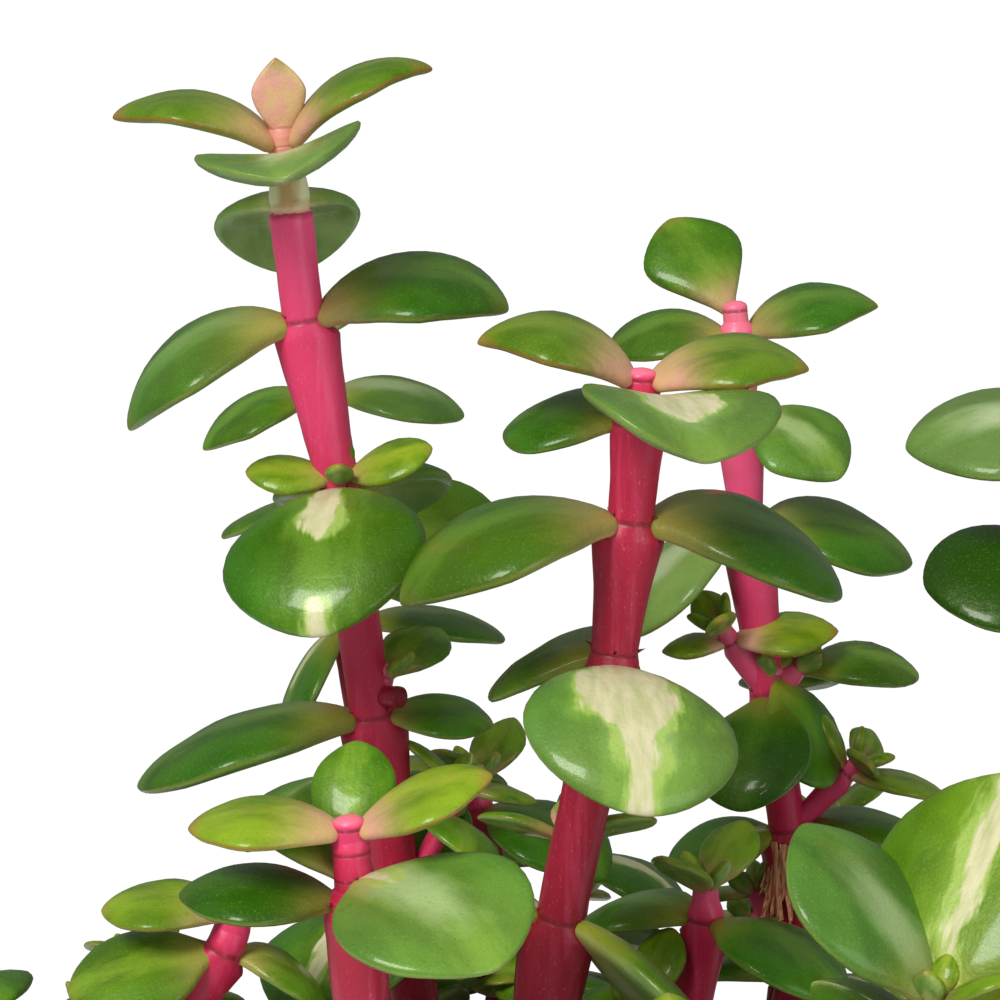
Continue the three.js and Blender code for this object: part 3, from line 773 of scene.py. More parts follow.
def yielded(leaf, lift, turn, share):
    """The leaf as it stands when it gives way to a neighbour."""
    length = leaf["length"] * share
    return {**leaf, "lift": leaf["lift"] + lift, "turn": leaf["turn"] + turn, "length": length,
            "breadth": length * (LEAF_WIDTH if length > YOUNG_LENGTH else YOUNG_WIDTH),
            "depth": max(length * LEAF_THICKNESS, THINNEST_LEAF)}


def plan_shoot(joint, turn, rise, rows, parent_girth, looks):
    """The joints and leaves of one straight side shoot."""
    level = math.cos(math.radians(rise))
    aim = Vector((math.cos(math.radians(turn)) * level, math.sin(math.radians(turn)) * level,
                  math.sin(math.radians(rise))))
    points, girths, turns = [joint.copy()], [min(SHOOT_GIRTH, parent_girth * 0.8)], [turn]
    for row in rows:
        points.append(joint + aim * row[0])
        girths.append(girths[0] * (1 - 0.02 * row[0]))
        turns.append(row[1])
    leaves = []
    for k, row in enumerate(rows, 1):
        for half, (length, lift, curl) in enumerate((row[2:5], row[5:8])):
            if length > 0:
                leaves.append(new_leaf(points[k], axis_at(points, k), girths[k],
                                       row[1] + 180 * half, length, lift, curl, 0, DROOP,
                                       SHOOT_LEAF_STEPS, looks))
    return {"points": points, "girths": girths, "turns": turns, "leaves": leaves}


def plan_stem(stem):
    """The joints, leaves and side shoots of one stem, thinner where joints are crowded."""
    points = [Vector(row[:3]) for row in stem["joints"]]
    last = len(points) - 1
    girths = []
    for k, point in enumerate(points):
        beside = points[max(k - 1, 0):k] + points[k + 1:k + 2]
        room = min(max((other - point).length for other in beside) / FULL_SWELL, 1)
        girths.append((stem["thick"] + (stem["thin"] - stem["thick"]) * k / last)
                      * (1 - CROWDED * (1 - room)))
    turns = [row[3] if len(row) > 3 else 0 for row in stem["joints"]]
    leaves = []
    for k in range(1, last + 1):
        row = stem["joints"][k]
        rolls = (row[10:12] + [0, 0])[:2]
        cup = row[12] if len(row) > 12 else DROOP
        fine = stem["sides"] == STEM_SIDES and row[2] > FINE_FROM
        for half in (0, 1):
            length, lift, curl = row[4 + 3 * half:7 + 3 * half]
            if length > 0:
                leaves.append(new_leaf(points[k], axis_at(points, k), girths[k],
                                       row[3] + 180 * half, length, lift, curl, rolls[half], cup,
                                       LEAF_STEPS if fine else LOW_LEAF_STEPS, (k, half, last)))
    shoots = [plan_shoot(points[k], turn, rise, rows, girths[k], (k, 2 + n, last))
              for n, (k, turn, rise, rows) in enumerate(stem["shoots"])]
    return {"name": stem["name"], "sides": stem["sides"], "points": points, "girths": girths,
            "turns": turns, "leaves": leaves, "shoots": shoots}


def low_stem(name, foot_x, foot_y, top_x, top_y, top_z, count):
    """A stem that leans evenly from foot to top, with its pairs a quarter turn apart."""
    joints = [[foot_x, foot_y, STEM_FOOT]]
    quarter = draw(0, 90)
    for k in range(1, count + 1):
        share = k / count
        x = foot_x + (top_x - foot_x) * share + draw(-0.8, 0.8)
        y = foot_y + (top_y - foot_y) * share + draw(-0.8, 0.8)
        z = STEM_FOOT + (top_z - STEM_FOOT) * share ** 0.85
        length = 17 - 3 * share
        row = [x, y, z, quarter + 90 * k + draw(-12, 12)]
        for half in (0, 1):
            row += [length + draw(-1.5, 1.5), 12 + draw(-10, 14), 50 + draw(-15, 20)]
        joints.append(row + [draw(-8, 8), draw(-8, 8)])
    top = joints[count]
    joints.append([top[0], top[1], top[2] + 3, top[3] + 90, 8, 50, 30, 8, 50, 30])
    return {"name": name, "sides": LOW_STEM_SIDES, "thick": LOW_THICK, "thin": LOW_THIN,
            "joints": joints, "shoots": []}


def add_side_shoots(stem, first, last):
    """Shoots with two pairs of small leaves, from the leaf corners of the low joints."""
    for k in range(first, last + 1):
        side = 0 if draw(0, 1) < 0.5 else 180
        turn = stem["joints"][k][3] + side + draw(-10, 10)
        rise = draw(38, 60)
        reach = draw(8, 11)
        small = draw(8.5, 11)
        stem["shoots"].append([k, turn, rise, [
            [reach * 0.6, turn + 90, small, 20, 45, small, 20, 45],
            [reach, turn, small * 0.7, 35, 30, small * 0.7, 35, 30]]])


for stem in STEMS:
    stem["sides"] = STEM_SIDES
    add_side_shoots(stem, 2, 2)
for row in LOW_STEMS:
    stem = low_stem(*row)
    add_side_shoots(stem, 2, 2)
    STEMS.append(stem)
plans = [plan_stem(stem) for stem in STEMS]

# A leaf that would touch another stem gives way, and a shoot with no room isn't there. The CAD
# solid of each stem settles both: the way whose corners are found in it is the one that stands.
# Most tips end in a bud, two tiny leaves that still stand face to face.
BUD_LENGTH = 3.6
BUD_LIFT = 72
BUD_CURL = 24
SAME_CORNER = 0.03
BUDLESS = ("tall_left", "centre", "right", "front_left")
for plan in plans:
    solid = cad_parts[plan["name"]].data
    known = kdtree.KDTree(len(solid.vertices))
    for k, vertex in enumerate(solid.vertices):
        known.insert(vertex.co / MM, k)
    known.balance()

    def found(spots):
        return sum(known.find(spot)[2] < SAME_CORNER for spot in spots)

    plan["shoots"] = [shoot for shoot in plan["shoots"] if found(
        [corner for ring in rings_of(shoot["points"], shoot["girths"], shoot["turns"])[1:]
         for corner in ring_corners(ring, SHOOT_SIDES)]) > 1]
    for shoot in plan["shoots"]:
        plan["leaves"] += shoot["leaves"]
    standing = []
    for leaf in plan["leaves"]:
        ways = [yielded(leaf, *way) for way in YIELDS]
        counts = [found(leaf_spots(way)) for way in ways]
        if max(counts) > 1:
            standing.append(ways[counts.index(max(counts))])
    for grown in plan["shoots"] + [plan] * (plan["name"] not in BUDLESS):
        tip = len(grown["points"]) - 1
        for turn in (90, 270):
            standing.append(yielded(new_leaf(
                grown["points"][tip], axis_at(grown["points"], tip), grown["girths"][tip],
                grown["turns"][tip] + turn, BUD_LENGTH, BUD_LIFT, BUD_CURL, 0, DROOP,
                SHOOT_LEAF_STEPS, (0, 4, 1)), 0, 0, 1))
    plan["leaves"] = standing


# ---- the stems -------------------------------------------------------------------------
# Juicy jointed stems, magenta where they are young and deep crimson lower down, going brown and
# corky at the soil; the deeper crimson lower down is partly age and partly painted shade. Each
# length is set into the flared top of the one below, with a dark crack and small dry scales where
# a pair of leaves stands. The top length of two is in a pale sheath.
STEM_FACETS = 20
SHOOT_FACETS = 12
CORK_FROM = 98
CORK_FADE = 22
# Height from which a stem is still in its pale sheath, and how young its top length looks on the
# crimson-to-pink ramp, a ramp that is partly age and partly painted shade.
SHEATHS = {"tall_left": 193.2, "front_right": 135.6}
YOUTH = {"tall_left": 1.05, "centre": 0.52, "right": 1.1, "front_left": 0.6, "low_left": 0.6,
         "front_right": 0.75}
LENGTH_SECTIONS = 9
SHOULDER_SECTIONS = 10
DOME_SECTIONS = 3
NECK_GIRTH = 1.1
LONE_FLARE = 0.35
SLEEVE_DEPTH = 0.16
SLEEVE_FADE = 1.4
SCALE_SIDES = 5
STUB_SIDES = 16
BELOW_SHEATH = -9.0


def marked(tree, name):
    """A number that the mesh keeps at its corners."""
    return wired(tree, "ShaderNodeAttribute", {"attribute_name": name}, {}, 2)


def stretched(tree, place, stretch, detail, rough=0.5):
    """Noise with its own count of grains to the metre each way."""
    return grain(tree, wired(tree, "ShaderNodeMapping", {}, {0: place, 3: stretch}),
                 1.0, detail, rough)


bark, tree, place = new_surface("juicy stem")
rise, seam, cork, above = (marked(tree, name) for name in ("rise", "seam", "cork", "above"))
tint = grain(tree, place, 160, 3, 0.5)
cells = grain(tree, place, 2600, 2, 0.6)
above = above + (grain(tree, place, 900, 2) - 0.5) * 0.7
tender = above.ramp(0.0, 0.15)
streaks = stretched(tree, place, (900, 900, 60), 3, 0.6)
# Deep crimson at the foot to pink at the top by rise: partly the stem's age, partly painted shade
# low in the bush.
body = wired(tree, "ShaderNodeValToRGB", {"stops": [
    (0.0, dye("#73071b")), (0.3, dye("#a00d30")), (0.5, dye("#ca2552")), (0.7, dye("#e04677")),
    (1.0, dye("#e76c86"))]}, {0: rise + (tint - 0.5) * 0.2})
body = blend(streaks.ramp(0.48, 0.75) * (rise * 0.3 + 0.12), body, dye("#ea5c86"))
body = blend(tint.ramp(0.55, 0.75) * 0.2, body, dye("#8a0a28"))
flecks = stretched(tree, place, (7000, 7000, 2600), 2)
body = blend(flecks.ramp(0.62, 0.76) * 0.2, body, dye("#f29ab0"))
body = blend(above.ramp(-0.7, -0.1) * (1 - tender) * 0.6, body, dye("#8e1230"))
sheath = blend(streaks.ramp(0.4, 0.7), dye("#c3c896"), dye("#e2d5b0"))
sideways = wired(tree, "ShaderNodeSeparateXYZ", {}, {0: place}, 0)
sheath = blend(abs(sideways / MM + 18.1).ramp(0.5, 1.3), dye("#a08a52"), sheath)
sheath = blend(above.ramp(3.9, 4.8), sheath, dye("#d58f7e"))
sheath = blend(above.ramp(0.1, 1.2), dye("#cfae86"), sheath)
body = blend(tender, body, blend(sideways > 0, sheath, dye("#7d9438")))
body = blend(seam * cells.ramp(0.25, 0.5) * (0.8 - tender * 0.6), body, dye("#5a1a16"))
corky = (cork + (streaks - 0.5) * 0.7).ramp(0.35, 0.65)
body = blend(corky, body, blend(streaks.ramp(0.4, 0.65), dye("#4a2c22"), dye("#8a6a52")))
finish_surface(tree, {
    "Base Color": body,
    "Roughness": corky * 0.4 + cells * 0.14 + 0.36,
    "Specular IOR Level": 0.42,
    "Coat Weight": 0.12 - corky * 0.12,
    "Coat Roughness": 0.2,
    "Normal": bumped(tree, cells * 0.3 + streaks * 0.6 + corky * streaks - seam, 0.35, 0.00025),
})


def smoothly(u):
    """From 0 to 1, level at both ends."""
    return u * u * (3 - 2 * u)


def lay_tube(body, rings, facets, shares, wander, green_from):
    """Adds one round tube through the rings of a stem or shoot, closed at both ends."""
    corners, faces, marks = body
    for k in range(2, len(rings) - 1, 2):
        centre, axis, out, girth, flare = rings[k]
        rings[k] = (centre, axis, out, girth * NECK_GIRTH, flare)
    rows = []
    for k in range(len(rings) - 1):
        shoulder = k % 2 == 1
        sections = SHOULDER_SECTIONS if shoulder else LENGTH_SECTIONS
        for n in range(sections + (k == len(rings) - 2)):
            u = n / sections
            (c0, a0, o0, r0, f0), (c1, a1, o1, r1, f1) = rings[k], rings[k + 1]
            if shoulder:
                ease = smoothly(min(u * 1.2, 1)) ** 0.85
                girth = r0 + (r1 - r0) * ease
                flare = f0 + (f1 - f0) * ease
                line = math.exp(-((u - 0.74) / 0.09) ** 2)
            else:
                girth = r0 + (r1 - r0) * u ** 1.3
                flare = f0 + (f1 - f0) * u ** 1.5
                line = 0
            share = shares[0] + (shares[1] - shares[0]) * (k + u) / (len(rings) - 1)
            rows.append((c0.lerp(c1, u), a0.lerp(a1, u).normalized(), o1 if u else o0,
                         girth, flare, line, share))
    tip = rows[-1]
    for n in range(1, DOME_SECTIONS + 1):
        bow = math.radians(28 * n)
        rows.append((tip[0] + tip[1] * tip[3] * 0.5 * math.sin(bow), tip[1], tip[2],
                     tip[3] * math.cos(bow), tip[4], 0, 1.0))
    start = len(corners)
    for centre, axis, out, girth, flare, line, share in rows:
        inside = centre.z - green_from
        sleeve = SLEEVE_DEPTH * math.exp(-inside / SLEEVE_FADE) if inside > 0 else 0
        for corner in ring_corners((centre, axis, out, girth, flare), facets):
            bulge = noise.noise(corner * 0.35 + Vector((wander, 0, 0))) * 0.05 - sleeve
            corners.append(centre + (corner - centre) * (1 + bulge))
            marks["rise"].append(share)
            marks["seam"].append(line)
            marks["cork"].append(max(0, min(1, (CORK_FROM - centre.z) / CORK_FADE)))
            marks["above"].append(inside)
    faces += tube_faces(start, len(rows), facets)


def circle_about(centre, aim, reach, sides):
    """Corners of a ring that faces along aim."""
    side = aim.orthogonal().normalized()
    other = aim.cross(side)
    turns = [2 * math.pi * k / sides for k in range(sides)]
    return [centre + (side * math.cos(turn) + other * math.sin(turn)) * reach for turn in turns]


def lay_scale(body, root, aim, length, girth):
    """A dry pointed scale, sunk in the stem at its foot."""
    corners, faces, marks = body
    start = len(corners)
    corners += circle_about(root, aim, girth, SCALE_SIDES) + [root + aim * length]
    for k in range(SCALE_SIDES):
        faces.append((start + k, start + (k + 1) % SCALE_SIDES, start + SCALE_SIDES))
    faces.append(tuple(start + k for k in reversed(range(SCALE_SIDES))))
    for mark, value in (("rise", 0.2), ("seam", 0.7), ("cork", 0.3), ("above", BELOW_SHEATH)):
        marks[mark] += [value] * (SCALE_SIDES + 1)


def lay_stub(body, root, aim, length, girth):
    """The healed end of a side branch that was cut off, with a raised rim."""
    corners, faces, marks = body
    rings = ((0, 1, 0), (0.5, 0.94, 0), (0.85, 1, 0.2), (0.97, 0.94, 0.7), (1, 0.8, 0.9),
             (0.93, 0.66, 0.8), (0.88, 0.4, 0.2), (0.9, 0.15, 0.3))
    faces += tube_faces(len(corners), len(rings), STUB_SIDES)
    for reach, share, line in rings:
        corners += circle_about(root + aim * length * reach, aim, girth * share, STUB_SIDES)
        for mark, value in (("rise", 0.25), ("seam", line), ("cork", 0.1),
                            ("above", BELOW_SHEATH)):
            marks[mark] += [value] * STUB_SIDES


for order, plan in enumerate(plans):
    chance = random.Random(100 + order)
    body = ([], [], {"rise": [], "seam": [], "cork": [], "above": []})
    top = plan["points"][-1].z
    youth = YOUTH.get(plan["name"], 0.95 if plan["sides"] == STEM_SIDES else 0.7)
    rings = rings_of(plan["points"], plan["girths"], plan["turns"])
    bearing = [leaf["looks"][0] for leaf in plan["leaves"] if leaf["looks"][1] < 2]
    for k in range(1, len(plan["points"])):
        if bearing.count(k) == 1:
            centre, axis, out, girth, flare = rings[2 * k - 1]
            rings[2 * k - 1] = (centre, axis, out, girth, 1 + (flare - 1) * LONE_FLARE)
    green_from = SHEATHS.get(plan["name"], top + 5)
    lay_tube(body, rings, STEM_FACETS, (0.0, youth), order * 7.0, green_from)
    for shoot in plan["shoots"]:
        share = youth * (shoot["points"][0].z - STEM_FOOT) / (top - STEM_FOOT)
        lay_tube(body, rings_of(shoot["points"], shoot["girths"], shoot["turns"]), SHOOT_FACETS,
                 (share, min(share + 0.3, 0.95)), order * 7.0 + 3, top + 5)
    for k, point in enumerate(plan["points"][1:-1], 1):
        centre, axis, out, girth, flare = rings[2 * k]
        for half in (1, -1) if centre.z < min(green_from, top) - 3 else ():
            for swing in (-1, 1):
                sweep = out.cross(axis) * swing * chance.uniform(0.5, 0.9)
                away = (out * half + sweep).normalized()
                aim = (away * 0.8 + axis * chance.uniform(0.3, 1.0)).normalized()
                lay_scale(body, centre + away * (girth - 0.15) - axis * 0.1, aim,
                          chance.uniform(0.5, 0.9), chance.uniform(0.13, 0.22))
    if plan["name"] == "tall_left":
        aim = Vector((0.8, -0.58, 0.1)).normalized()
        lay_stub(body, Vector((-11.0, -0.5, 150.4)), aim, 2.9, 1.0)
    stalk = piece(plan["name"] + "_stalk", body[0], body[1], bark, True, body[2])
    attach(stalk, "root")
    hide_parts(plan["name"])


# ---- the torn bark ---------------------------------------------------------------------
# Strips of thin papery old bark below a low joint of the right-hand stem, where a leaf pair was
# torn away: each still holds at its upper end and curls off the stem as it dries.
TORN_STRIPS = 100
CLINGING = 65
STRIP_CUTS = 8
STRIP_SET_OFF = 0.25
STRIP_THICKNESS = 0.14

paper, tree, place = new_surface("papery bark")
fibres = stretched(tree, place, (2600, 2600, 300), 3)
finish_surface(tree, {
    "Base Color": blend(fibres.ramp(0.35, 0.66), dye("#a85a38"), dye("#e8ac82")),
    "Roughness": fibres * 0.2 + 0.65,
    "Normal": bumped(tree, fibres, 0.5, 0.0002),
})
chance = random.Random(5)
torn = next(plan for plan in plans if plan["name"] == "right")
joint, down = torn["points"][3], (torn["points"][2] - torn["points"][3]).normalized()
corners = []
faces = []
for strip in range(TORN_STRIPS):
    away = headed(strip * 13 + chance.uniform(-6, 6), down)
    side = down.cross(away).normalized()
    root = joint + down * chance.uniform(0.4, 2) + away * torn["girths"][3] * 0.5
    long, half_width = chance.uniform(3, 8), chance.uniform(0.2, 0.45)
    curl_out = chance.uniform(0.1, 0.4) if strip < CLINGING else chance.uniform(0.5, 2.2)
    lean = chance.uniform(-1.2, 1.2)
    faces += tube_faces(len(corners), STRIP_CUTS + 1, 4)
    for k in range(STRIP_CUTS + 1):
        u = k / STRIP_CUTS
        spine = (root + down * long * u + away * (STRIP_SET_OFF + curl_out * u ** 2.5)
                 + side * lean * u * u)
        spread = half_width * (1 - 0.7 * u ** 2)
        for across, through in ((-0.5, -0.5), (-0.5, 0.5), (0.5, 0.5), (0.5, -0.5)):
            corners.append(spine + side * across * spread * 2
                           + away * through * STRIP_THICKNESS)
husk = piece("torn_bark", corners, faces, paper, False)
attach(husk, "root")


# ---- the leaves ------------------------------------------------------------------------
# Thick juicy leaves, round towards the tip and drawn in to a short stalk, in pairs that clasp
# the joints. They're living flesh with a waxy shine: green with a ragged cream streak on many,
# pink at the foot while they are young, and a fine red-brown line round the rim.
LEAF_BLANKS = [(28, 24), (18, 16), (14, 12)]
PLUMPNESS = 0.8
GROOVE = 0.12
WOBBLE = 0.022
SHARP_CURVE = 1.5
FOOT_END = 0.035
WAIST = 0.38
THIN_FOOT = 0.83

flesh, tree, place = new_surface("leaf flesh")
t, wide, through = (marked(tree, name) for name in ("t", "wide", "through"))
age, dark, blush = (marked(tree, name) for name in ("age", "dark", "blush"))
cream, reach, strip = (marked(tree, name) for name in ("cream", "reach", "strip"))
glow, seed, spots, bloom = (marked(tree, name) for name in ("glow", "seed", "spots", "bloom"))


def leaf_noise(across, along, detail, shift):
    """Noise laid out on the leaf itself, different on each one."""
    spot = wired(tree, "ShaderNodeCombineXYZ", {}, {
        0: wide * across, 1: t * along, 2: seed * 61 + shift})
    return grain(tree, spot, 1.0, detail, 0.55)


# The cream runs from the foot as far as reach, a narrow streak goes on to the tip, and noise
# tears its edge. Round it lies a milky zone, then a soft yellow-green halo.
ragged = leaf_noise(3.2, 3.4, 3, 0)
edge_noise = leaf_noise(9, 5, 3, 7)
mottle = leaf_noise(1.8, 2.2, 2, 13)
cells = grain(tree, place, 3400, 1, 0.6)
dimples = grain(tree, place, 750, 1, 0.6)
run = cream * (0.35 + 0.65 * (t * 2.4).at_most(1)) * (1 - (t - reach).ramp(-0.12, 0.06))
run = run + strip.at_least(0) * (t - reach).ramp(-0.1, 0.0)
run = run + (0 - strip).at_least(0) * t.ramp(0.82, 0.88)
inside = run * (0.25 + ragged * 1.5) + (edge_noise - 0.5) * 0.34 - abs(wide)
pale = inside.ramp(-0.03, 0.05) * run.ramp(0.01, 0.05)
halo = (inside + (ragged - 0.5) * 0.6).ramp(-0.42, 0.0) * glow
milky = (inside + (mottle - 0.5) * 0.5 + 0.07).ramp(-0.04, 0.05) * run.ramp(0.01, 0.05)

# The upper side.
green = blend(mottle.ramp(0.3, 0.7), dye("#2c5f00"), dye("#4a860c"))
young = blend(mottle.ramp(0.3, 0.7), dye("#5c7d08"), dye("#86a01c"))
body = blend(age, young, green)
margin = (abs(wide) + (mottle - 0.5) * 0.7).ramp(0.4, 1.0)
body = blend(margin * age * 0.5, body, dye("#2a680c"))
olive = leaf_noise(0.5, 0.7, 1, 47).ramp(0.42, 0.66)
body = blend(olive * age * 0.5, body, dye("#4d5f0a"))
body = blend(halo * 0.6, body, blend(age, dye("#9aa82c"), dye("#7aa530")))
# Painted shade: leaves that stand in the shade of others are darkened towards deep green.
body = blend(dark * 0.85, body, dye("#1c4200"))
# Partly a real waxy bloom, partly painted sheen of the white studio: a cool grey-green wash, paler
# in the middle towards the foot.
body = blend(bloom * (0.3 + mottle * 0.5), body, dye("#86a45f"))
haze = (1 - abs(wide) * 1.6 + (mottle - 0.5) * 0.8).ramp(0.3, 0.9)
haze = haze * (1 - t + (ragged - 0.5) * 0.4).ramp(0.15, 0.5)
body = blend(haze * (bloom * 1.2).at_most(0.7), body, dye("#b9c69c"))
body = blend(milky * 0.75, body, dye("#9db85a"))
body = blend(pale, body, blend(edge_noise.ramp(0.3, 0.7), dye("#b3b485"), dye("#cbc5a0")))

# The under side, the foot, the pink flush of a young leaf, the rim and the tip.
# The under side is paler: partly its own colour, partly painted light thrown up from the pale
# floor.
below = (0 - through).ramp(-0.1, 0.3)
under = blend(mottle.ramp(0.3, 0.7), dye("#6a8d4b"), dye("#90ab6c"))
centre_line = (1 - abs(wide) * 1.2 - t * 0.55 + (edge_noise - 0.5) * 0.3).ramp(0.2, 0.7)
under = blend(centre_line * age * 0.9, under, dye("#cdcfa9"))
body = blend(below * (1 - dark) * (0.4 + age * 0.5), body, under)
foot = (1 - t * 1.4 + (mottle - 0.5) * 0.3).ramp(0.5, 1.0)
# The olive foot, darker on leaves with painted shade.
body = blend(foot * (1 - pale) * (0.75 - bloom * 0.6), body,
             blend(dark, dye("#9b9a35"), dye("#77701f")))
rosy = 1 - t * 1.1 + (edge_noise - 0.5) * 0.2 + (blush - 1).at_least(0) * 2
flush = rosy.ramp(0.42, 0.95) * blush.at_most(1)
peach = blend((mottle - wide * 0.12).ramp(0.36, 0.6) * 0.6, dye("#db988f"), dye("#ccb070"))
body = blend(flush * 0.85, body, blend(rosy.ramp(0.55, 0.85), dye("#bfa35f"), peach))
rim = (1 - abs(through)).ramp(0.8, 0.99) * t.ramp(0.15, 0.5)
body = blend(rim * (1 - blush).at_least(0) * 0.35, body, dye("#86a548"))
body = blend((rim * (0.05 + blush * 0.65)).at_most(0.85), body, dye("#93492a"))
tips = (t + (edge_noise - 0.5) * 0.1).ramp(0.86, 1.0) * blush
body = blend((tips * 0.5).at_most(0.7), body, dye("#a8583a"))

# Fine dots of the skin, and the brown specks of one old leaf.
dots = grain(tree, place, 5200, 1, 0.5)
plain = (1 - flush) * (1 - pale)
body = blend(dots.ramp(0.6, 0.72) * plain * 0.12, body, dye("#9cc05a"))
body = blend((1 - dots).ramp(0.62, 0.74) * plain * 0.3, body, dye("#1f4a06"))
brown = (leaf_noise(14, 9, 2, 31).ramp(0.52, 0.6) * (1 - abs(wide)).ramp(0.78, 0.9)
         * t.ramp(0.25, 0.45) * spots)
body = blend(brown, body, dye("#7c3b1c"))

finish_surface(tree, {
    "Base Color": body,
    "Roughness": 0.34 + cells * 0.14 + below * 0.1 + bloom * 0.06,
    "Specular IOR Level": 0.32,
    "Specular Tint": (0.85, 1, 0.6, 1),
    "Coat Weight": 0.28,
    "Coat Roughness": 0.11,
    "Normal": bumped(tree, cells * 0.5 + dimples, 0.4, 0.0002),
})

# The tree sets a round blank at every leaf's root and gives it the leaf's form: laid out from
# stalk to tip along an arc, flattened, hollowed a little above, and rolled to its own side.
leaves = Shape("leaves in pairs", {
    "Facets 0": 12, "Lengths 0": 10, "Facets 1": 12, "Lengths 1": 10, "Facets 2": 12,
    "Lengths 2": 10, "Plumpness": 1.0, "Groove": 0.0, "Wobble": 0.0, "Surface": None})
spot = leaves.node("GeometryNodeInputPosition")
x, y, z = (leaves.node("ShaderNodeSeparateXYZ", {}, {0: spot}, k) for k in range(3))
around = (x * x + y * y) ** 0.5
kinds = []
for grade in range(len(LEAF_BLANKS)):
    blank = leaves.node("GeometryNodeMeshUVSphere", {}, {
        "Segments": leaves.given(f"Facets {grade}"), "Rings": leaves.given(f"Lengths {grade}")})
    blank = leaves.keep(blank, "t", (z + 1) / 2)
    blank = leaves.keep(blank, "across", x / around)
    blank = leaves.keep(blank, "through", 0 - y / around)
    chosen = abs(leaves.read("grade") - grade) < 0.5
    kinds.append(leaves.node("GeometryNodeInstanceOnPoints", {}, {
        "Points": leaves.given("Geometry"), "Selection": chosen, "Instance": blank}))
real = leaves.node("GeometryNodeRealizeInstances", {}, {0: leaves.joined(kinds)})
t, across, through = leaves.read("t"), leaves.read("across"), leaves.read("through")
length, breadth, depth = leaves.read("length"), leaves.read("breadth"), leaves.read("depth")
lift, curl, roll = leaves.read("lift"), leaves.read("curl"), leaves.read("roll")
sway, seed = leaves.read("sway"), leaves.read("seed")
swell = NECK + (1 - NECK) * ((t / WIDEST).at_most(1) * (math.pi / 2)).sin()
last = (t - WIDEST).at_least(0) / (1 - WIDEST)
round_end = (1 - last ** ROUND_CURVE).at_least(0) ** ROUND_END
sharp_end = (1 - last ** SHARP_CURVE).at_least(0) ** 0.9
root_end = (1 - (1 - (t / FOOT_END).at_most(1)) ** 2) ** 0.5
width = swell * (round_end + (sharp_end - round_end) * leaves.read("point")) * root_end
waist = WAIST * (1 - leaves.read("blush")).at_least(0)
width = width * (1 - waist * (1 - t.ramp(0, 0.24)))
width = width * (1 - leaves.read("wedge") * (1 - t.ramp(0, 0.75)))
filled = ((t / FULL_FROM).at_most(1) * (math.pi / 2)).sin()
fullness = (FOOT_FULLNESS + (1 - FOOT_FULLNESS) * filled) * (1 - t ** 4).at_least(0) ** 0.5
fullness = fullness * (THIN_FOOT + (1 - THIN_FOOT) * t.ramp(0, 0.12)) * root_end
plump = (abs(through) ** leaves.given("Plumpness")) * ((through > 0) * 2 - 1)
hollow = (1 - abs(across * width) * 2.6).ramp(0, 1) * (through > 0) * (1 - t).ramp(0.05, 0.5)
sideways = width * breadth / 2 * across
upward = (fullness * depth / 2 * (plump - hollow * leaves.given("Groove"))
          + leaves.read("cup") * breadth * width * across * across)
wave = leaves.node("ShaderNodeTexNoise", {}, {"Scale": 1.0, "Detail": 1.0, "Vector":
                   leaves.node("ShaderNodeCombineXYZ", {}, {
                       0: across * width * 1.3, 1: t * 2.2, 2: seed * 53})}, 0)
upward = upward + (wave - 0.5) * leaves.given("Wobble") * length * t.ramp(0.1, 0.6) * 2
bend = lift - curl * t
along = length * (lift.sin() - bend.sin()) / curl
rise = length * (bend.cos() - lift.cos()) / curl
edge = sideways * roll.cos() - upward * roll.sin() + sway * length * t * t
face = sideways * roll.sin() + upward * roll.cos()
spot = leaves.read("root", "FLOAT_VECTOR")
for heading, move in (("side", edge), ("out", along - face * bend.sin()),
                      ("axis", rise + face * bend.cos())):
    spot = leaves.node("ShaderNodeVectorMath", {"operation": "MULTIPLY_ADD"}, {
        0: leaves.read(heading, "FLOAT_VECTOR"), 1: move, 2: spot})
shaped = leaves.node("GeometryNodeSetPosition", {}, {"Geometry": real, "Position": spot})
leaves.leave(leaves.keep(shaped, "wide", across * width), leaves.given("Surface"))
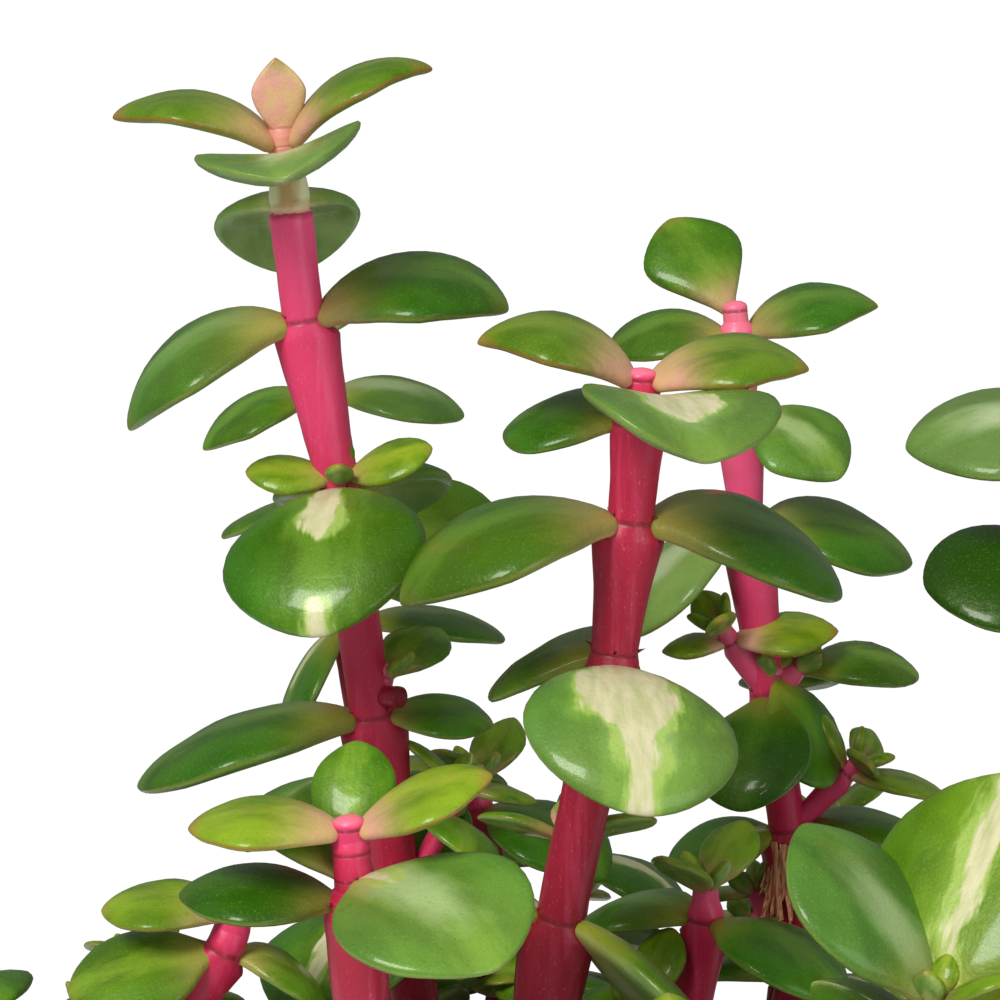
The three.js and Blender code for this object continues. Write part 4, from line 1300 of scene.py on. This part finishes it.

# The leaves that show at the front, as age, painted shade, blush, cream (half width, how far it
# runs, width of the strip that goes on to the tip) and point. The others come by chance. A leaf
# goes by its stem, its joint and its place there: 0 or 1 in the pair, more on a side shoot.
LOOKS = {
    ("tall_left", 10, 0): (0.1, 0, 1.35, 0, 0, 0, 1.0),
    ("tall_left", 10, 1): (0.1, 0, 1.3, 0, 0, 0, 1.0),
    ("tall_left", 9, 0): (0.3, 0.4, 0.95, 0, 0, 0, 0.9),
    ("tall_left", 9, 1): (0.25, 0.4, 0.95, 0, 0, 0, 0.9),
    ("tall_left", 8, 0): (1.0, 0.1, 0.15, 0, 0, 0, 0.0),
    ("tall_left", 7, 0): (1.0, 0, 0, 0, 0, 0, 0.2),
    ("tall_left", 5, 3): (0.15, 0, 0.3, 0, 0, 0, 0.3),
    ("tall_left", 5, 4): (0.15, 0, 0.3, 0, 0, 0, 0.3),
    ("tall_left", 6, 0): (1.0, 0.45, 0.25, 0, 0, 0, 0.6),
    ("tall_left", 6, 1): (1.0, 0.2, 0.2, 0, 0, 0, 0.8),
    ("tall_left", 5, 0): (1.0, 0.35, 0, 0.18, 0.56, -0.1, 0.1),
    ("tall_left", 4, 0): (1.0, 0.5, 0.1, 0, 0, 0, 0.5),
    ("tall_left", 4, 1): (0.9, 0.2, 0.2, 0, 0, 0, 0.2),
    ("centre", 9, 0): (0.3, 0.45, 0.95, 0, 0, 0, 1.0),
    ("centre", 9, 1): (0.25, 0.45, 0.9, 0, 0, 0, 1.0),
    ("centre", 8, 0): (1.0, 0.1, 0.1, 0.32, 0.72, 0, 0.0),
    ("centre", 7, 0): (1.0, 0.4, 0.1, 0, 0, 0, 0.2),
    ("centre", 6, 0): (1.0, 0.6, 0.15, 0, 0, 0, 0.3),
    ("centre", 6, 1): (1.0, 0.35, 0.25, 0, 0, 0, 0.5),
    ("centre", 5, 0): (0.75, 0.3, 0.1, 0, 0, 0, 0.2),
    ("centre", 4, 0): (0.95, 0, 0, 0.46, 0.62, 0.14, 0.0),
    ("centre", 3, 0): (0.7, 0, 0, 0, 0, 0, 0.3),
    ("right", 8, 0): (0.8, 0.35, 0.5, 0, 0, 0, 0.2),
    ("right", 7, 0): (1.0, 0.4, 0.3, 0, 0, 0, 1.0),
    ("right", 7, 1): (1.0, 0.3, 0.25, 0, 0, 0, 0.3),
    ("right", 6, 0): (0.8, 0.1, 0, 0, 0, 0, 0.4),
    ("right", 5, 0): (0.4, 0, 0.1, 0, 0, 0, 0.2),
    ("right", 4, 2): (0.05, 0, 1.0, 0, 0, 0, 0.8),
    ("right", 4, 3): (0.95, 0.1, 0.1, 0, 0, 0, 0.3),
    ("right", 4, 4): (1.0, 0.1, 0, 0, 0, 0, 0.2),
    ("right", 3, 5): (0.2, 0.1, 0.5, 0, 0, 0, 0.4),
    ("right", 5, 1): (1.0, 0.35, 0.1, 0, 0, 0, 0.5),
    ("right", 4, 0): (1.0, 0.7, 0, 0, 0, 0, 0.2),
    ("centre", 0, 4): (0.2, 0, 1.2, 0, 0, 0, 1.0),
    ("front_left", 0, 4): (0.2, 0, 1.2, 0, 0, 0, 1.0),
    ("right", 0, 4): (0.2, 0, 0.8, 0, 0, 0, 1.0),
    ("front_left", 7, 0): (0.1, 0, 0.95, 0, 0, 0, 0.6),
    ("front_left", 7, 1): (0.1, 0, 0.95, 0, 0, 0, 0.6),
    ("front_left", 6, 0): (0.8, 0, 0, 0, 0, 0, 0.1),
    ("front_left", 5, 0): (0.8, 0, 0, 0.09, 0.32, 0, 0.2),
    ("front_left", 5, 1): (0.6, 0, 0.3, 0, 0, 0, 0.2),
    ("front_left", 4, 0): (1.0, 0.8, 0.1, 0, 0, 0, 0.4),
    ("front_right", 5, 0): (0.6, 0.1, 0, 0.1, 0.95, 0.09, 0.2),
    ("front_right", 6, 0): (1.0, 0.4, 0, 0, 0, 0, 0.2),
    ("behind_left", 6, 0): (0.9, 0.1, 0, 0, 0, 0, 0.2),
    ("behind_left", 6, 1): (0.9, 0.1, 0, 0, 0, 0, 0.8),
    ("far_right", 6, 0): (1.0, 0.45, 0, 0, 0, 0, 0.3),
    ("far_right", 5, 0): (1.0, 1.15, 0, 0, 0, 0, 0.1),
    ("low_left", 5, 0): (0.2, 0, 0.6, 0, 0, 0, 0.3),
    ("low_left", 4, 0): (0.7, 0.1, 0.2, 0, 0, 0, 0.3),
}
SPOTTED = ("centre", 3, 0)
WEDGED = ("right", 8, 0)
# How much each of these leaves is washed grey-green by waxy bloom and painted sheen.
BLOOM_AND_SHEEN = {("tall_left", 8, 0): 0.6, ("tall_left", 7, 0): 0.6, ("tall_left", 6, 1): 0.1,
          ("centre", 8, 0): 0.4, ("centre", 4, 0): 0.5, ("right", 5, 0): 0.9,
          ("right", 6, 0): 0.3, ("far_right", 6, 0): 0.6, ("behind_left", 6, 0): 0.4,
          ("front_left", 5, 0): 0.35, ("front_right", 6, 0): 0.3}
FLOATS = ("grade", "length", "breadth", "depth", "lift", "curl", "roll", "cup", "sway", "point",
          "age", "dark", "blush", "cream", "reach", "strip", "glow", "seed", "spots", "bloom",
          "wedge")
SHAPE_FLOATS = 10
WEDGE_SHARE = 0.5
for order, plan in enumerate(plans):
    chance = random.Random(7 + order)
    rows = []
    for leaf in plan["leaves"]:
        joint, half, last = leaf["looks"]
        newest = joint / last if plan["sides"] == STEM_SIDES else 0.5
        looks = LOOKS.get((plan["name"], joint, half))
        if looks is None:
            old = min(1.2 - newest ** 3 + chance.uniform(-0.15, 0.1), 1)
            if half > 1 or leaf["length"] < YOUNG_LENGTH:
                old = max(0.1, min((leaf["length"] - 5) / 7, 0.9)) + chance.uniform(-0.1, 0.1)
            some = chance.random() < 0.2
            # By chance: age, painted shade that grows with age, a pink flush while young, and now
            # and then a cream streak.
            looks = (old, chance.uniform(0, 0.5) * old * (half < 2),
                     (1 - old) * chance.uniform(0.5, 0.9),
                     chance.uniform(0.05, 0.2) * some, chance.uniform(0.3, 0.9),
                     chance.uniform(0, 0.06) * some, chance.uniform(0.1, 0.7))
        age, dark, blush, cream, reach, strip, point = map(float, looks)
        grade = 2 if leaf["steps"] == SHOOT_LEAF_STEPS else leaf["steps"] < LEAF_STEPS
        rows.append(dict(zip(FLOATS, (
            float(grade), leaf["length"] * MM, leaf["breadth"] * MM, leaf["depth"] * MM,
            math.radians(leaf["lift"]), math.radians(max(leaf["curl"], 1)),
            math.radians(leaf["roll"]), leaf["cup"], chance.uniform(-0.03, 0.03), point,
            age, dark, blush, cream, reach, strip, chance.uniform(0.4, 1.0), chance.random(),
            float((plan["name"], joint, half) == SPOTTED),
            float(BLOOM_AND_SHEEN.get((plan["name"], joint, half), 0)),
            WEDGE_SHARE * ((plan["name"], joint, half) == WEDGED)))))
    base = piece("base", [leaf["root"] for leaf in plan["leaves"]], [], flesh)
    for name in FLOATS:
        base.data.attributes.new(name, "FLOAT", "POINT").data.foreach_set(
            "value", [row[name] for row in rows])
    for name in ("root", "axis", "out", "side"):
        values = []
        for leaf in plan["leaves"]:
            out = headed(leaf["turn"], leaf["axis"])
            values.extend({"root": leaf["root"] * MM, "axis": leaf["axis"], "out": out,
                           "side": out.cross(leaf["axis"])}[name])
        base.data.attributes.new(name, "FLOAT_VECTOR", "POINT").data.foreach_set("vector", values)
    made = leaves.grown_on(base, plan["name"] + "_leaves", {
        **{f"Facets {k}": row[0] for k, row in enumerate(LEAF_BLANKS)},
        **{f"Lengths {k}": row[1] for k, row in enumerate(LEAF_BLANKS)},
        "Plumpness": PLUMPNESS, "Groove": GROOVE, "Wobble": WOBBLE, "Surface": flesh})
    for name in FLOATS[:SHAPE_FLOATS] + ("across", "root", "axis", "out", "side"):
        made.data.attributes.remove(made.data.attributes[name])
    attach(made, "root")
    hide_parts(plan["name"])


# ---- the floor, the lights and the camera ----------------------------------------------
# A pale matte table top that fades into a white studio, lit softly from the upper left and the
# front.
FLOOR_RADIUS = 290
FLOOR_SIDES = 96
MIDDLE_OF_BUSH = Vector((0, 0, 0.15))
VIEW_POINT = Vector((0, 0, 0.168))

card, tree, place = new_surface("pale floor")
x, y = (wired(tree, "ShaderNodeSeparateXYZ", {}, {0: place}, k) for k in (0, 1))
fade = ((x * x + y * y) ** 0.5).ramp(0.16, 0.28)
finish_surface(tree, {
    "Base Color": blend(fade, dye("#f2f1ee"), (0, 0, 0, 1)),
    "Emission Color": blend(fade, (0, 0, 0, 1), (1, 1, 1, 1)),
    "Emission Strength": 1.0,
    "Roughness": 0.8,
})
turns = [k * 2 * math.pi / FLOOR_SIDES for k in range(FLOOR_SIDES)]
floor_corners = [(FLOOR_RADIUS * math.cos(turn), FLOOR_RADIUS * math.sin(turn), 0)
                 for turn in turns]
floor = piece("floor", floor_corners, [tuple(range(FLOOR_SIDES))], card, False)

sky = bpy.data.worlds.new("white studio")
sky.use_nodes = True
sky.node_tree.nodes.clear()
seen = wired(sky.node_tree, "ShaderNodeLightPath", {}, {}, 0)
mirrored = wired(sky.node_tree, "ShaderNodeLightPath", {}, {}, 3)
air = wired(sky.node_tree, "ShaderNodeBackground", {}, {
    "Color": (1, 1, 1, 1), "Strength": 0.54 + seen * 0.5 - mirrored * 0.36})
wired(sky.node_tree, "ShaderNodeOutputWorld", {}, {"Surface": air})
bpy.context.scene.world = sky


def facing(place, target):
    """The rotation that points a light or the camera from place at target."""
    return (target - place).to_track_quat("-Z", "Y").to_euler()


def soft_light(name, place, size, power, tone):
    """A square soft light that faces the middle of the bush."""
    data = bpy.data.lights.new(name, "AREA")
    data.size = size
    data.energy = power
    data.color = tone
    light = bpy.data.objects.new(name, data)
    light.location = place
    light.rotation_euler = facing(Vector(place), MIDDLE_OF_BUSH)
    bpy.context.scene.collection.objects.link(light)


soft_light("key", (-0.28, -0.42, 0.62), 0.26, 4.4, (1.0, 0.98, 0.95))
soft_light("fill", (0.45, -0.5, 0.3), 0.4, 1.3, (0.97, 0.98, 1.0))

lens = bpy.data.cameras.new("camera")
lens.sensor_width = 36
lens.lens = 98.2
lens.clip_start = 0.01
camera = bpy.data.objects.new("camera", lens)
camera.location = (0, -0.23635, 0.20967)
camera.rotation_euler = facing(camera.location, VIEW_POINT)
bpy.context.scene.collection.objects.link(camera)
bpy.context.scene.camera = camera
bpy.context.scene.view_settings.view_transform = "Standard"
